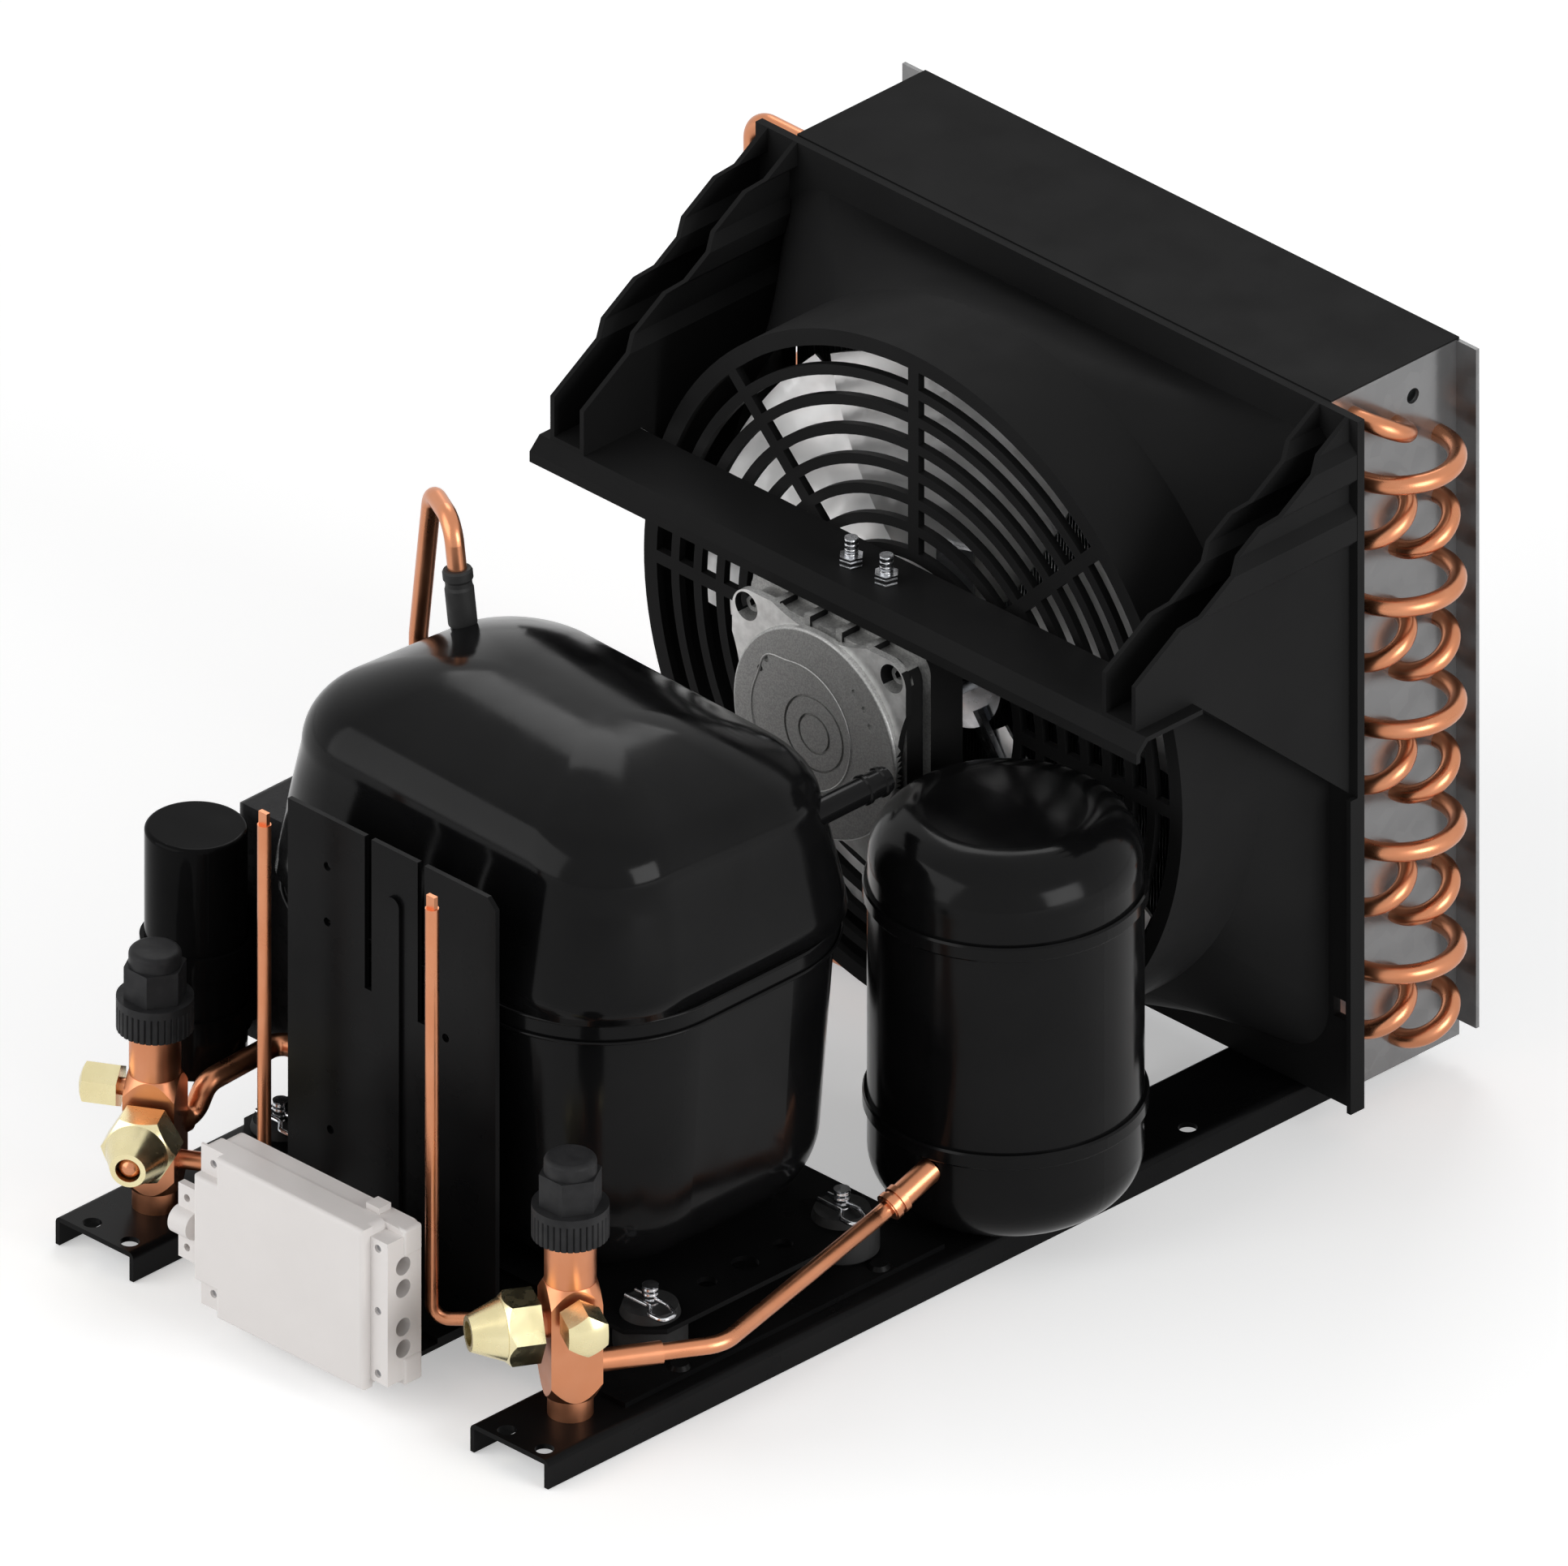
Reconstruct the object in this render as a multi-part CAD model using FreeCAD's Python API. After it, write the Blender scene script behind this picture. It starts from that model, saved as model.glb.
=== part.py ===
import FreeCAD, Part
import math
import os

# Refrigeration condensing unit, air cooled, in millimetres.
# X runs across the rails, Y from the service valves back to the coil, Z up from the floor.
# The drawing datum is the middle of the rails' front ends; the parts are written about the
# middle of the unit's outline on the floor.

os.makedirs("parts", exist_ok=True)

plan_middle_x = -5.7
plan_middle_y = 217.0

# General sheet and running clearances
sheet = 2.0
seat_gap = 0.3
running_gap = 0.05

# Rails
rail_pitch = 207.7
rail_width = 39.0
rail_height = 11.5
rail_length = 436.0
rail_bend = 2.6
rail_hole_radius = 3.5
rail_hole_offset = 12.15
rail_second_hole_offset = -6.65
front_hole_y = 5.5
mount_length = 322.2

# Cross plate between the rails
cross_plate_width = 232.0
cross_plate_front = 46.0
cross_plate_back = 206.0
tab_half_width = 39.0
tab_front = 9.0
rivet_radius = 2.6
rivet_head_radius = 4.2
rivet_head = 1.6
rivet_offset = 7.2
rivet_y = [78.0, 178.0]

# Compressor
compressor_y = 130.0
shell_length = 190.0
shell_width = 150.0
shell_corner = 52.0
shell_wall = 3.0
shell_bottom = 29.0
weld_bottom = 135.6
weld_height = 8.8
weld_proud = 1.6
lower_taper = 9.0
lower_rounding = 30.0
dome_levels = [(22.0, 3.2), (41.0, 8.0), (56.0, 17.0), (66.0, 30.0), (72.0, 46.0), (74.6, 62.0), (75.2, 71.0)]
dome_crown = 1.0
foot_span = 185.0
foot_depth = 96.0
foot_plate_width = 212.0
foot_plate_depth = 128.0
foot_plate_bottom = 25.0
grommet_radius = 13.5
grommet_neck_radius = 9.0
grommet_lip_radius = 11.0
grommet_lip = 3.4
stud_radius = 3.0
stud_top = 38.0
clip_wire = 0.9
clip_reach = 15.6
stator_clearance = 3.0
stator_radius = shell_width / 2 - lower_taper - shell_wall - stator_clearance
stator_bore = 31.0
stator_height = 46.0
spring_radius = 5.5
spring_clearance = 9.0
spring_offset = shell_width / 2 - lower_taper - lower_rounding - spring_clearance
rotor_clearance = 0.6
crankshaft_radius = 8.0
bearing_length = 26.0
block_width = 96.0
block_depth = 84.0
block_height = 28.0
piston_bore = 10.0
crank_pocket = 24.0

# Tubes
line_radius = 3.2
stub_wall = 1.0
line_low = 31.0
line_high = 35.0
condensate_z = 40.0
elbow_radius = 4.7
elbow_start = 3.2
elbow_depth = 4.0
gauge_top = 192.0
gauge_low = 24.0
gauge_raised = 31.5
gauge_left_x = -46.0
gauge_right_x = 38.0
gauge_y = 27.2
gauge_tube_radius = 2.5
gauge_seat = 13.0
suction_line_radius = 4.2
suction_port_z = 41.0
suction_port_length = 15.0
stub_radius = 4.6
stub_reach = 10.0
sleeve_length = 21.5
process_tube_radius = 5.0
process_tube_bore = 3.6
process_tube_length = 42.0

# Upright front plate
front_plate_y = 45.0
front_plate_half = 52.0
front_plate_top = 193.0
front_slot_width = 3.4

# Electrical cover and capacitor
cover_left = -130.0
cover_right = -shell_length / 2 - seat_gap
cover_front = 96.0
cover_back = 166.0
cover_bottom = 46.0
cover_top = 140.0
capacitor_radius = 18.4
capacitor_x = -125.0
capacitor_y = 72.0
capacitor_bottom = 46.0
capacitor_height = 95.0

# Junction box
box_left = -42.6
box_right = 50.8
box_face_right = 42.2
box_front = -12.0
box_split = 0.0
box_back = 9.0
box_bottom = 11.8
box_top = 77.3
box_step = 4.2
box_wall = 2.2
box_notch = 11.3
box_flange_inset = 3.6
box_shoulder = 8.0
screw_radius = 1.55
screw_inset = 6.2
entry_radius = 3.6
entry_z = [28.1, 36.9, 52.7, 61.8]
ear_reach = 14.2
ear_low = 24.4
ear_high = 54.4

# Service valves
valve_x = 104.0
valve_y = 30.5
valve_turn = 30.0
valve_block = 19.0
valve_block_bottom = 20.0
valve_block_top = 66.0
valve_foot_radius = 8.25
valve_port_radius = 5.2
valve_port_reach = 15.0
access_port_radius = 3.2
access_port_reach = 10.0
liquid_nut_z = 49.0
suction_nut_z = 46.0
liquid_access_z = 56.0
suction_access_z = 58.0
liquid_nut_heading = -120
suction_nut_heading = -60
liquid_access_heading = -30
suction_access_heading = 210
valve_neck_radius = 9.3
valve_neck_top = 84.0
cap_skirt_radius = 13.9
cap_skirt_height = 13.0
cap_hex = 20.0
cap_hex_height = 13.0
cap_top_radius = 9.5
cap_top_height = 6.0
cap_groove_count = 36
stem_radius = 4.0
nut_back = 3.0
nut_across = 24.0
nut_length = 13.0
nut_nose = 12.0
nut_mouth_radius = 4.6
access_across = 14.5
access_length = 15.0

# Receiver
receiver_x = 104.0
receiver_y = 248.6
receiver_radius = 49.25
receiver_bottom = 14.0
receiver_top = 170.0
receiver_dish = 20.0
receiver_wall = 2.5
band_proud = 1.7
lower_band_z = 50.0
upper_band_z = 135.0
band_height = 6.0

# Shroud, wings and cross bar
shroud_half = 150.8
shroud_bottom = 11.5
shroud_top = 293.4
flange_front = 378.0
flange_back = 381.4
wing_inner = 134.0
wing_front = 271.0
wing_foot = 208.7
wing_wall = 2.0
bar_top = 208.7
bar_half = 152.0
bar_back = 299.3
lip_drop = 5.0
lip_height = 4.2
flange_lip = 3.5
flange_lip_top = 140.0

# Fan
fan_z = 154.0
guard_y = 307.7
guard_radius = 132.5
guard_bar = 4.0
guard_pitch = 11.2
guard_depth = 3.0
ring_wall = 2.4
cone_front = 345.0
hub_radius = 24.0
blade_count = 5
blade_y = 328.0
blade_wall = 1.2
blade_camber = 3.0
blade_tip = 121.0
blade_sections = [(27.0, 30.0, 24.0), (50.0, 56.0, 24.0), (86.0, 92.0, 17.0), (124.0, 112.0, 12.0)]
arm_half = 7.0
arm_reach = 48.0
arm_wall = 2.0
hub_length = 20.0
hub_sleeve_radius = 11.0
motor_half = 45.0
motor_front = 256.5
motor_back = 286.0
motor_corner = 9.0
motor_disc_radius = 40.7
motor_disc = 2.5
motor_star = 3.0
motor_front_half = 43.5
motor_rim_y = 270.0
motor_scoop_radius = 5.6
motor_scoop_place = 36.4
motor_stud_x = 8.8
motor_stud_y = 284.0
fan_shaft_radius = 4.0

# Coil
coil_half = 133.7
coil_front = 381.8
coil_bottom = 8.5
coil_top = 293.0
tube_pitch = 25.0
row_pitch = 21.65
tube_radius = 3.5
bend_leg = 0.6
level_count = 11
coil_depth = 64.2
fin_pitch = 3.0
fin_wall = 1.0
fin_groove = 5.0
end_flange = 10.0
first_tube_z = 283.7
inlet_reach = 32.5
socket_top = 218.0
socket_length = 12.0
socket_wall = 1.2
socket_stop = 2.5

motor_z = fan_z


def vec(x, y, z):
    return FreeCAD.Vector(x, y, z)


UP = vec(0, 0, 1)
RIGHT = vec(1, 0, 0)
BACK = vec(0, 1, 0)


def block(x0, x1, y0, y1, z0, z1):
    return Part.makeBox(x1 - x0, y1 - y0, z1 - z0, vec(x0, y0, z0))


def rod(centre, direction, radius, length):
    return Part.makeCylinder(radius, length, centre, direction)


def ring(centre, direction, outer, inner, length):
    return rod(centre, direction, outer, length).cut(rod(centre, direction, inner, length))


def prism(points, direction):
    """Solid of a flat outline pushed along a direction."""
    wire = Part.makePolygon([vec(*p) for p in points] + [vec(*points[0])])
    return Part.Face(wire).extrude(direction)


def turned(profile, centre, direction):
    """Solid of revolution: profile holds (radius, height) pairs from the axis out and back."""
    wire = Part.makePolygon([vec(r, 0, h) for r, h in profile] + [vec(profile[0][0], 0, profile[0][1])])
    solid = Part.Face(wire).revolve(vec(0, 0, 0), UP, 360)
    solid = Part.makeSolid(solid.Shells[0]) if solid.ShapeType != "Solid" else solid
    solid.Placement = FreeCAD.Placement(centre, FreeCAD.Rotation(UP, direction))
    return solid


def hexagon(centre, direction, across, length, spin=0.0):
    radius = across / math.sqrt(3)
    points = []
    for i in range(6):
        angle = math.radians(60 * i + spin)
        points.append((radius * math.cos(angle), radius * math.sin(angle), 0))
    solid = prism(points, vec(0, 0, length))
    solid.Placement = FreeCAD.Placement(centre, FreeCAD.Rotation(UP, direction))
    return solid


def rounded_wire(x_half, y_half, corner, x, y, z):
    """Rounded rectangle as four lines and four arcs, starting at the right front."""
    edges = []
    corners = [(1, -1, -90), (1, 1, 0), (-1, 1, 90), (-1, -1, 180)]
    starts = []
    for sx, sy, start in corners:
        middle = vec(x + sx * (x_half - corner), y + sy * (y_half - corner), z)
        arc = Part.makeCircle(corner, middle, UP, start, start + 90)
        starts.append(arc)
    for i in range(4):
        edges.append(starts[i])
        end = starts[i].Vertexes[-1].Point
        following = starts[(i + 1) % 4].Vertexes[0].Point
        edges.append(Part.makeLine(end, following))
    return Part.Wire(edges)


def bend_solid(start, middle, last, centre, radius):
    """Part of a torus from one end of an arc to the other."""
    axis = (start - centre).cross(middle - centre).normalize()
    turn = math.degrees((start - centre).getAngle(middle - centre) + (middle - centre).getAngle(last - centre))
    tangent = axis.cross(start - centre)
    profile = Part.Face(Part.Wire(Part.makeCircle(radius, start, tangent)))
    return profile.revolve(centre, axis, turn)


def tube(points, bend, radius):
    """Round bar along straight runs joined by tangent arcs of one radius."""
    nodes = [vec(p[0], p[1], p[2]) for p in points]
    solids = []
    start = nodes[0]
    for i in range(1, len(nodes) - 1):
        before = (nodes[i - 1] - nodes[i]).normalize()
        after = (nodes[i + 1] - nodes[i]).normalize()
        half = before.getAngle(after) / 2
        reach = bend / math.tan(half)
        first = nodes[i] + before * reach
        last = nodes[i] + after * reach
        centre = nodes[i] + (before + after).normalize() * (bend / math.sin(half))
        middle = centre + (nodes[i] - centre).normalize() * bend
        if (first - start).Length > 0.01:
            solids.append(rod(start, first - start, radius, (first - start).Length))
        solids.append(bend_solid(first, middle, last, centre, radius))
        start = last
    solids.append(rod(start, nodes[-1] - start, radius, (nodes[-1] - start).Length))
    return fuse_all(solids)


def fuse_all(shapes):
    whole = shapes[0].fuse(shapes[1:]) if len(shapes) > 1 else shapes[0]
    return whole.removeSplitter()


def group(shapes):
    return Part.makeCompound(shapes)


def write(name, shape):
    moved = shape.copy()
    moved.translate(vec(-plan_middle_x, -plan_middle_y, 0))
    moved.exportStep("parts/" + name + ".step")


# Frame

def rail(centre_x):
    half = rail_width / 2
    outer = block(centre_x - half, centre_x + half, 0, rail_length, 0, rail_height)
    edges = [e for e in outer.Edges if abs(e.CenterOfMass.z - rail_height) < 0.01 and e.Length > rail_width * 2]
    outer = outer.makeFillet(rail_bend, edges)
    inner = block(centre_x - half + sheet, centre_x + half - sheet, -1, rail_length + 1, -1, rail_height - sheet)
    holes = []
    for x, y in [(rail_hole_offset, front_hole_y), (rail_second_hole_offset, front_hole_y),
                 (rail_hole_offset, front_hole_y + mount_length)]:
        holes.append(rod(vec(centre_x + x, y, 0), UP, rail_hole_radius, rail_height + 1))
    outward = rivet_offset if centre_x > 0 else -rivet_offset
    for y in rivet_y:
        holes.append(rod(vec(centre_x + outward, y, 0), UP, rivet_radius + running_gap, rail_height + 1))
    return outer.cut([inner] + holes)


def cross_plate():
    half = cross_plate_width / 2
    top = rail_height + sheet
    plate = block(-half, half, cross_plate_front, cross_plate_back, rail_height, top)
    tab = block(-tab_half_width, tab_half_width, tab_front, cross_plate_front + 1, rail_height, top)
    plate = fuse_all([plate, tab])
    holes = []
    for side in (-1, 1):
        for y in rivet_y:
            place = vec(side * (rail_pitch / 2 + rivet_offset), y, rail_height - 1)
            holes.append(rod(place, UP, rivet_radius + running_gap, 9))
    window = prism([(-60, 90, 0), (60, 90, 0), (70, 100, 0), (70, 160, 0), (60, 170, 0), (-60, 170, 0),
                    (-70, 160, 0), (-70, 100, 0)], vec(0, 0, 30))
    upright = block(-30, 30, box_back, box_back + sheet, rail_height, 62.0)
    for x in (-20, 20):
        holes.append(rod(vec(x, box_back - 1, 48), BACK, 2.2, 5))
    return fuse_all([plate, upright]).cut(holes + [window])


def plate_rivets():
    solids = []
    low = rail_height - sheet
    for side in (-1, 1):
        for y in rivet_y:
            profile = [(0, -rivet_head), (rivet_head_radius - 1, -rivet_head), (rivet_head_radius, 0),
                       (rivet_radius, 0), (rivet_radius, 2 * sheet), (rivet_head_radius, 2 * sheet),
                       (rivet_head_radius - 1, 2 * sheet + rivet_head), (0, 2 * sheet + rivet_head)]
            solids.append(turned(profile, vec(side * (rail_pitch / 2 + rivet_offset), y, low), UP))
    return group(solids)


# Compressor

def foot_points():
    return [(sx * foot_span / 2, compressor_y + sy * foot_depth / 2) for sx in (-1, 1) for sy in (-1, 1)]


def foot_plate():
    half_x = foot_plate_width / 2
    half_y = foot_plate_depth / 2
    cut = 11.0
    outline = [(-half_x + cut, -half_y), (half_x - cut, -half_y), (half_x, -half_y + cut), (half_x, half_y - cut),
               (half_x - cut, half_y), (-half_x + cut, half_y), (-half_x, half_y - cut), (-half_x, -half_y + cut)]
    plate = prism([(x, compressor_y + y, foot_plate_bottom) for x, y in outline], vec(0, 0, sheet))
    holes = []
    for x, y in foot_points():
        holes.append(rod(vec(x, y, foot_plate_bottom - 1), UP, grommet_neck_radius + running_gap, sheet + 2))
    for side in (-1, 1):
        for along, radius in [(-19.0, 3.6), (0.0, 5.0), (19.0, 3.6)]:
            holes.append(rod(vec(side * 92.0, compressor_y + along, foot_plate_bottom - 1), UP, radius, sheet + 2))
    return plate.cut(holes)


def grommets():
    floor = rail_height + sheet
    solids = []
    neck = foot_plate_bottom - floor
    for x, y in foot_points():
        profile = [(stud_radius + running_gap, 0), (grommet_radius - 1, 0), (grommet_radius, 1),
                   (grommet_radius, neck), (grommet_neck_radius, neck), (grommet_neck_radius, neck + sheet),
                   (grommet_lip_radius, neck + sheet), (grommet_lip_radius - 1, neck + sheet + grommet_lip),
                   (stud_radius + running_gap, neck + sheet + grommet_lip)]
        solids.append(turned(profile, vec(x, y, floor), UP))
    return group(solids)


def mounting_studs():
    solids = []
    floor = rail_height + sheet
    clip_z = clip_level()
    for x, y in foot_points():
        body = rod(vec(x, y, floor), UP, stud_radius, stud_top - floor)
        solids.append(body.cut(rod(vec(x - 5, y, clip_z), RIGHT, clip_wire + running_gap, 10)))
    return group(solids)


def clip_level():
    return foot_plate_bottom + sheet + grommet_lip + clip_wire + 1.6


def hairpin_clips():
    solids = []
    z = clip_level()
    bend = 2.6
    for x, y in foot_points():
        leg = [(x - 7, y, z), (x + 9, y, z), (x + clip_reach, y - 3.0, z), (x + clip_reach, y - 9.4, z),
               (x + 9, y - 9.4, z), (x + 5, y - stud_radius - 2.2, z), (x - 7, y - stud_radius - 2.2, z)]
        solids.append(tube(leg, bend, clip_wire))
    return group(solids)


def shell_section(z, shrink):
    """Rounded outline of the shell, the given distance inside the weld flange."""
    return rounded_wire(shell_length / 2 - shrink, shell_width / 2 - shrink, shell_corner - shrink, 0,
                        compressor_y, z)


def shell_half(open_z, open_shrink, closed_z, closed_shrink, rounding):
    """Drawn half shell: tapered wall with its closed end rounded over."""
    body = Part.makeLoft([shell_section(open_z, open_shrink), shell_section(closed_z, closed_shrink)], True, True)
    rim = [e for e in body.Edges if abs(e.BoundBox.ZMin - closed_z) < 0.01 and e.BoundBox.ZLength < 0.01]
    return body.makeFillet(rounding, rim)


def lower_inside():
    """Inside of the lower half: tapered wall, then flats that follow the rounding."""
    sections = [shell_section(weld_bottom + 1, weld_proud + shell_wall)]
    inner = lower_rounding - shell_wall
    for degrees in (0, 30, 60, 90):
        turn = math.radians(degrees)
        level = shell_bottom + lower_rounding - inner * math.sin(turn)
        sections.append(shell_section(level, lower_taper + lower_rounding - inner * math.cos(turn)))
    return Part.makeLoft(sections, True, True)


def lower_shell():
    """Drawn lower half with the weld flange round its open edge."""
    outer = shell_half(weld_bottom, weld_proud, shell_bottom, lower_taper, lower_rounding)
    hollow = lower_inside()
    flange = Part.Face(shell_section(weld_bottom, 0)).extrude(vec(0, 0, weld_height))
    mouth = Part.Face(shell_section(weld_bottom - 1, weld_proud + shell_wall)).extrude(vec(0, 0, weld_height + 2))
    return fuse_all([outer.cut(hollow), flange.cut(mouth)]).cut(port_cuts())


def dome_section(z, shrink):
    """Outline of the dome, whose corners keep their share of the width as it closes."""
    half_x = shell_length / 2 - shrink
    half_y = shell_width / 2 - shrink
    return rounded_wire(half_x, half_y, half_y * shell_corner * 2 / shell_width, 0, compressor_y, z)


def dome_shrink(inset):
    """Inset of a level, spread so that the crown closes over the shell's width."""
    return inset * (shell_width / 2 - shell_wall - dome_crown) / dome_levels[-1][1]


def upper_shell():
    """Drawn dome with a soft crown, its inside in flats that follow the outside."""
    base = weld_bottom + weld_height
    outside = [dome_section(base, weld_proud)]
    inside = [dome_section(base - 1, weld_proud + shell_wall)]
    for rise, inset in dome_levels:
        shrink = dome_shrink(inset)
        outside.append(dome_section(base + rise, shrink))
        inside.append(dome_section(base + rise - shell_wall, shrink + shell_wall))
    outer = Part.makeLoft(outside, True, False)
    hollow = Part.makeLoft(inside, True, True)
    return outer.cut([hollow] + port_cuts())


def stator_bottom():
    return shell_bottom + 20.0


def compressor_stator():
    base = vec(0, compressor_y, stator_bottom())
    core = rod(base, UP, stator_radius, stator_height).cut(rod(base, UP, stator_bore, stator_height))
    solids = [core]
    floor = shell_bottom + shell_wall + seat_gap
    for sx in (-1, 1):
        for sy in (-1, 1):
            spring = vec(sx * spring_offset, compressor_y + sy * spring_offset, floor)
            solids.append(rod(spring, UP, spring_radius, stator_bottom() - floor))
    return fuse_all(solids)


def pump_block():
    low = stator_bottom() + stator_height + 6.0
    body = block(-block_width / 2, block_width / 2, compressor_y - block_depth / 2,
                 compressor_y + block_depth / 2, low, low + block_height)
    sleeve = rod(vec(0, compressor_y, low - bearing_length + 12), UP, 15.0, bearing_length)
    legs = []
    for sx in (-1, 1):
        for sy in (-1, 1):
            legs.append(rod(vec(sx * 33.0, compressor_y + sy * 33.0, stator_bottom() + stator_height), UP, 6.0, 8))
    whole = fuse_all([body, sleeve] + legs)
    bore = rod(vec(0, compressor_y, low - bearing_length), UP, crankshaft_radius + running_gap, 90)
    cylinder = rod(vec(-block_width / 2 - 1, compressor_y, low + block_height / 2 + 1), RIGHT, piston_bore, 34.0)
    pocket = rod(vec(0, compressor_y, low + 3), UP, crank_pocket, 40)
    return whole.cut([bore, cylinder, pocket])


def compressor_rotor():
    low = stator_bottom() + 2.0
    radius = stator_bore - rotor_clearance
    core_top = stator_bottom() + stator_height - 10.0
    core = rod(vec(0, compressor_y, low), UP, radius, core_top - low)
    shaft_top = stator_bottom() + stator_height + 6.0 + 12.0
    shaft = rod(vec(0, compressor_y, low - 1), UP, crankshaft_radius, shaft_top - low + 1)
    web = rod(vec(0, compressor_y, shaft_top), UP, 18.0, 6.0)
    crank_pin = rod(vec(8.0, compressor_y, shaft_top + 6.0), UP, 5.5, 10.0)
    bell = rod(vec(0, compressor_y, stator_bottom() + stator_height - 22), UP, 16.0, 30)
    return fuse_all([core.cut(bell), shaft, web, crank_pin])


def dome_port():
    """Foot and direction of the discharge stub, on the dome's left rear."""
    return vec(-70.0, 152.0, 203.0), vec(-0.134, 0.0, 1.0).normalize()


def process_port():
    return vec(76.0, 174.0, 183.0), BACK


def suction_port():
    """Where the suction line meets the lower shell, and its direction there."""
    return vec(-84.0, 91.0, 57.0), vec(16.0, 3.0, 1.0).normalize()


def port_cuts():
    """Holes in the shells where the stubs and lines go through."""
    foot, lean = dome_port()
    start, along = process_port()
    mouth, inward = suction_port()
    return [rod(foot - lean * 20, lean, stub_radius + running_gap, 40),
            rod(start - along * 8, along, process_tube_radius + running_gap, process_tube_length),
            rod(mouth - inward * 12, inward, suction_line_radius + running_gap, 30)]


def shell_stubs():
    """Discharge stub on the dome and open process stub at the right rear."""
    foot, lean = dome_port()
    stub = rod(foot, lean, stub_radius, stub_reach + 9.0)
    stub = stub.cut(rod(foot + lean * stub_reach, lean, tube_radius + running_gap, 12.0))
    start, along = process_port()
    outer = process_tube_radius
    length = process_tube_length
    profile = [(process_tube_bore, 0), (outer, 0)]
    for bead in (length - 12.0, length - 4.0):
        profile += [(outer, bead), (outer + 0.7, bead + 0.5), (outer + 0.7, bead + 2.0), (outer, bead + 2.5)]
    profile += [(outer, length), (process_tube_bore, length)]
    return group([stub, turned(profile, start, along)])


def suction_sleeve():
    """Moulded sleeve over the stub and the end of the tube, with a bead at its top."""
    foot, lean = dome_port()
    base = foot + lean * stub_reach
    inner = stub_radius + running_gap
    profile = [(inner, 0), (5.2, 0), (5.3, 0.6), (5.3, 14.0), (4.9, 15.2), (4.9, 16.8), (5.5, 17.8), (5.5, 20.6),
               (5.0, sleeve_length), (tube_radius + running_gap, sleeve_length),
               (tube_radius + running_gap, 9.2), (inner, 9.2)]
    return turned(profile, base, lean)


def suction_line():
    """Copper line from the suction valve's back, rising and then into the lower shell."""
    mouth, inward = suction_port()
    last = mouth - inward * 16.0
    points = [(-valve_x, valve_y + valve_block / 2 + 1.0, suction_port_z),
              (-valve_x, valve_y + suction_port_length + 4.6, suction_port_z), (-101.5, 53.8, 53.0),
              (last.x, last.y, last.z), (mouth.x, mouth.y, mouth.z)]
    return tube(points, 6.0, suction_line_radius)


# Upright plate, electrical cover, capacitor, junction box

def front_plate():
    y0 = front_plate_y
    top = front_plate_top
    foot_z = rail_height + sheet
    half = front_plate_half
    outline = [(-half, foot_z), (half, foot_z), (half, top - 4), (half - 4, top), (-half, top)]
    plate = prism([(x, y0, z) for x, z in outline], vec(0, sheet, 0))
    foot = block(-tab_half_width, tab_half_width, y0 - 16, y0 + sheet, foot_z, foot_z + sheet)
    emboss = fuse_all([block(-2.0, 5.0, y0 - 1.4, y0 + 0.5, foot_z + 20, top - 22),
                       rod(vec(1.5, y0 - 1.4, top - 22), BACK, 3.5, 1.9)])
    cuts = [block(-13.5, -13.5 + front_slot_width, y0 - 3, y0 + 5, 131.0, top + 1),
            block(13.0, 13.0 + front_slot_width, y0 - 3, y0 + 5, 128.0, top + 1)]
    for x, z in [(-32.3, 173.0), (-32.3, 150.3), (-30.7, 66.0), (27.0, 127.0)]:
        cuts.append(rod(vec(x, y0 - 3, z), BACK, 1.7, 8))
    return fuse_all([plate, foot, emboss]).cut(cuts)


def electrical_cover():
    outer = block(cover_left, cover_right, cover_front, cover_back, cover_bottom, cover_top)
    edges = [e for e in outer.Edges if abs(e.CenterOfMass.x - cover_left) < 0.01]
    outer = outer.makeFillet(5.0, edges)
    inner = block(cover_left + sheet, cover_right + 1, cover_front + sheet, cover_back - sheet,
                  cover_bottom + sheet, cover_top - sheet)
    return outer.cut(inner)


def start_capacitor():
    base = vec(capacitor_x, capacitor_y, capacitor_bottom)
    body = rod(base, UP, capacitor_radius, capacitor_height)
    rims = [e for e in body.Edges if e.Curve.TypeId == "Part::GeomCircle"]
    return body.makeFillet(1.6, rims)


def capacitor_strap():
    solids = []
    for z in (62.0, 88.0):
        base = vec(capacitor_x, capacitor_y, z)
        hoop = ring(base, UP, capacitor_radius + 1.7, capacitor_radius + 0.1, 9.0)
        solids.append(hoop)
    upright = block(capacitor_x - 8, capacitor_x + 8, capacitor_y + capacitor_radius + 0.6,
                    cover_front, 56.0, 104.0)
    upright = upright.cut(rod(vec(capacitor_x, capacitor_y, 50), UP, capacitor_radius + 0.1, 60))
    return fuse_all(solids + [upright])


def box_corners(x0, x1, y0, y1, z0, z1, corner):
    """Block whose four edges along Y are rounded."""
    body = block(x0, x1, y0, y1, z0, z1)
    edges = [e for e in body.Edges if abs(e.Vertexes[0].Point.y - e.Vertexes[-1].Point.y) > 1]
    return body.makeFillet(corner, edges)


def screw_points():
    """Two screws in the cover's notches and three down its right flange."""
    low = box_bottom + screw_inset
    high = box_top - screw_inset
    left = box_left + screw_inset
    right = (box_face_right + box_right) / 2 - 0.6
    return [(left, low), (left, high), (right, low + 1), (right, (low + high) / 2), (right, high - 1)]


def screw_holes():
    start = box_front + box_step - 1
    return [rod(vec(x, start, z), BACK, screw_radius + running_gap, 14) for x, z in screw_points()]


def entry_holes():
    """Cable entries, half in the cover and half in the base."""
    start = box_face_right - 4
    return [rod(vec(start, box_split, z), RIGHT, entry_radius, box_right - start + 2) for z in entry_z]


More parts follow.
